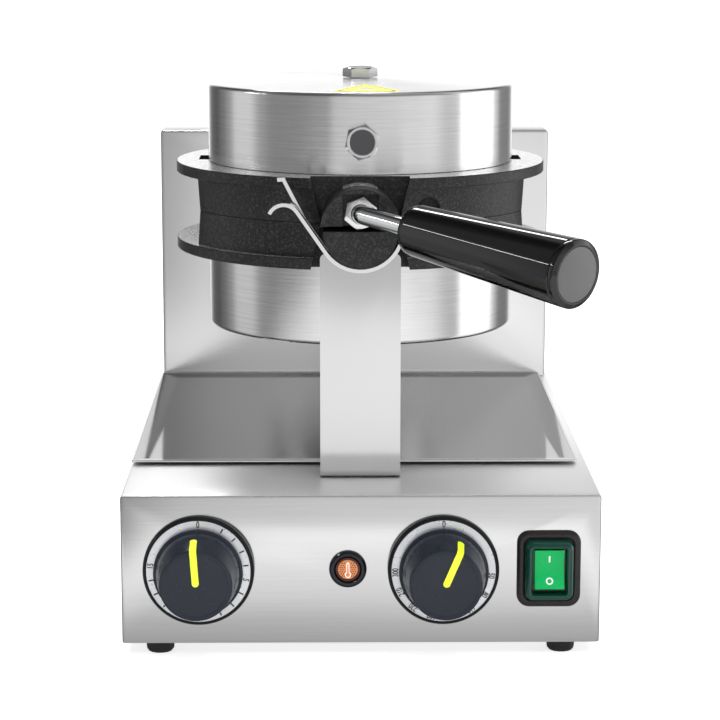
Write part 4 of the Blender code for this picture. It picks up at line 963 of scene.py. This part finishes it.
def fill_ramp(ramp, stops):
    """Sets (position, grey) stops on a new colour ramp."""
    ramp.interpolation = "EASE"
    for _ in range(len(stops) - 2):
        ramp.elements.new(0.5)
    for element, (position, value) in zip(ramp.elements, stops):
        element.position = position
        element.color = (value, value, value, 1)


def panel(name, at, target, size, power, glossy=True, only=()):
    """A soft rectangular light that faces a point. With only, it lights just the pieces in those finishes."""
    data = bpy.data.lights.new(name, "AREA")
    data.shape, data.size, data.size_y, data.energy = "RECTANGLE", *size, power
    light = bpy.data.objects.new(name, data)
    light.location = at
    light.rotation_euler = (Vector(target) - Vector(at)).to_track_quat("-Z", "Y").to_euler()
    light.visible_glossy = glossy
    bpy.context.scene.collection.objects.link(light)
    if only:
        lit = bpy.data.collections.new(f"{name}_lit")
        for obj in bpy.context.scene.collection.objects:
            if obj.type == "MESH" and obj.data.materials and obj.data.materials[0].name in only:
                lit.objects.link(obj)
        light.light_linking.receiver_collection = lit


# Radiance round the horizon: degrees to the right of straight behind the camera
AROUND = [(-180, 1.3), (-163, 1.3), (-157, 0.45), (-150, 0.18), (-138, 0.13), (-126, 0.25), (-116, 0.45),
          (-107, 0.9), (-92, 0.9), (-80, 0.45), (-69, 0.34), (-50, 0.34), (-26, 0.42), (-18, 0.78), (0, 0.86),
          (38, 1.0), (54, 1.1), (68, 0.82), (77, 0.85), (83, 2.2), (114, 2.2), (122, 0.9), (131, 0.32),
          (148, 0.28), (156, 0.5), (163, 1.2), (180, 1.3)]
# Share of that radiance by degrees above the horizon
UPWARD = [(-90, 0.4), (-40, 0.5), (-20, 0.72), (-12, 0.78), (-8, 0.88), (-4, 1.0), (0, 1.0), (13, 1.0),
          (20, 0.75), (30, 0.35), (60, 0.3), (90, 0.6)]
SKY_SCALE = 2.4


def studio_world():
    """Soft boxes and darker gaps all round, for the metal to reflect."""
    world = bpy.data.worlds.new("studio")
    bpy.context.scene.world = world
    world.use_nodes = True
    tree = world.node_tree
    nodes, links = tree.nodes, tree.links

    def math_node(operation, first, second=None):
        made = nodes.new("ShaderNodeMath")
        made.operation = operation
        for socket, value in enumerate((first, second)):
            if isinstance(value, bpy.types.NodeSocket):
                links.new(value, made.inputs[socket])
            elif value is not None:
                made.inputs[socket].default_value = value
        return made.outputs[0]

    def ramp(source, stops, span):
        made = nodes.new("ShaderNodeValToRGB")
        fill_ramp(made.color_ramp, [(angle / span + 0.5, value / SKY_SCALE) for angle, value in stops])
        links.new(source, made.inputs[0])
        return made.outputs[0]

    where = nodes.new("ShaderNodeTexCoord").outputs["Generated"]
    split = nodes.new("ShaderNodeSeparateXYZ")
    links.new(where, split.inputs[0])
    x, y, z = split.outputs
    azimuth = math_node("ARCTAN2", x, math_node("MULTIPLY", y, -1.0))
    elevation = math_node("ARCSINE", z)
    round_factor = math_node("ADD", math_node("DIVIDE", azimuth, FULL_TURN), 0.5)
    up_factor = math_node("ADD", math_node("DIVIDE", elevation, math.pi), 0.5)
    around = ramp(round_factor, AROUND, 360)
    upward = ramp(up_factor, UPWARD, 180)
    background = nodes["Background"]
    links.new(math_node("MULTIPLY", around, upward), background.inputs["Color"])
    background.inputs["Strength"].default_value = SKY_SCALE * SKY_SCALE


def photo_camera():
    """A long-lens view from in front and above, looking a little down."""
    data = bpy.data.cameras.new("camera")
    data.lens, data.sensor_width = 121.2, 36
    data.clip_start, data.clip_end = 0.05, 100
    camera = bpy.data.objects.new("camera", data)
    yaw, pitch, roll = 0.0133, 0.1885, 0.0009
    camera.location = (-0.0169, -1.3802, 0.3916)
    forward = Vector((math.sin(yaw) * math.cos(pitch), math.cos(yaw) * math.cos(pitch), -math.sin(pitch)))
    camera.rotation_mode = "QUATERNION"
    level = forward.to_track_quat("-Z", "Y")
    camera.rotation_quaternion = level @ Matrix.Rotation(roll, 4, "Z").to_quaternion()
    bpy.context.scene.collection.objects.link(camera)
    bpy.context.scene.camera = camera


bpy.context.scene.view_settings.view_transform = "Standard"
studio_floor()
table_card()
studio_world()
panel("overhead", (0, -0.2, 2.4), (0, 0, 0), (2.4, 1.6), 55, glossy=False)
panel("front", (0.3, -2.4, 2.0), (0, 0, 0.1), (1.6, 0.8), 25, glossy=False)
panel("back_strip", (-0.35, 2.2, 2.3), (0, 0, 0.2), (1.2, 0.24), 14)
panel("left_strip", (-2.4, -0.1, 1.2), (0, 0, 0.2), (0.9, 0.035), 3)
panel("rim_left", (-1.3, -0.6, 1.7), (0, -0.15, 0.05), (0.5, 0.12), 30,
      only=("knob_plastic", "lamp_trim", "clear_boot"))
photo_camera()
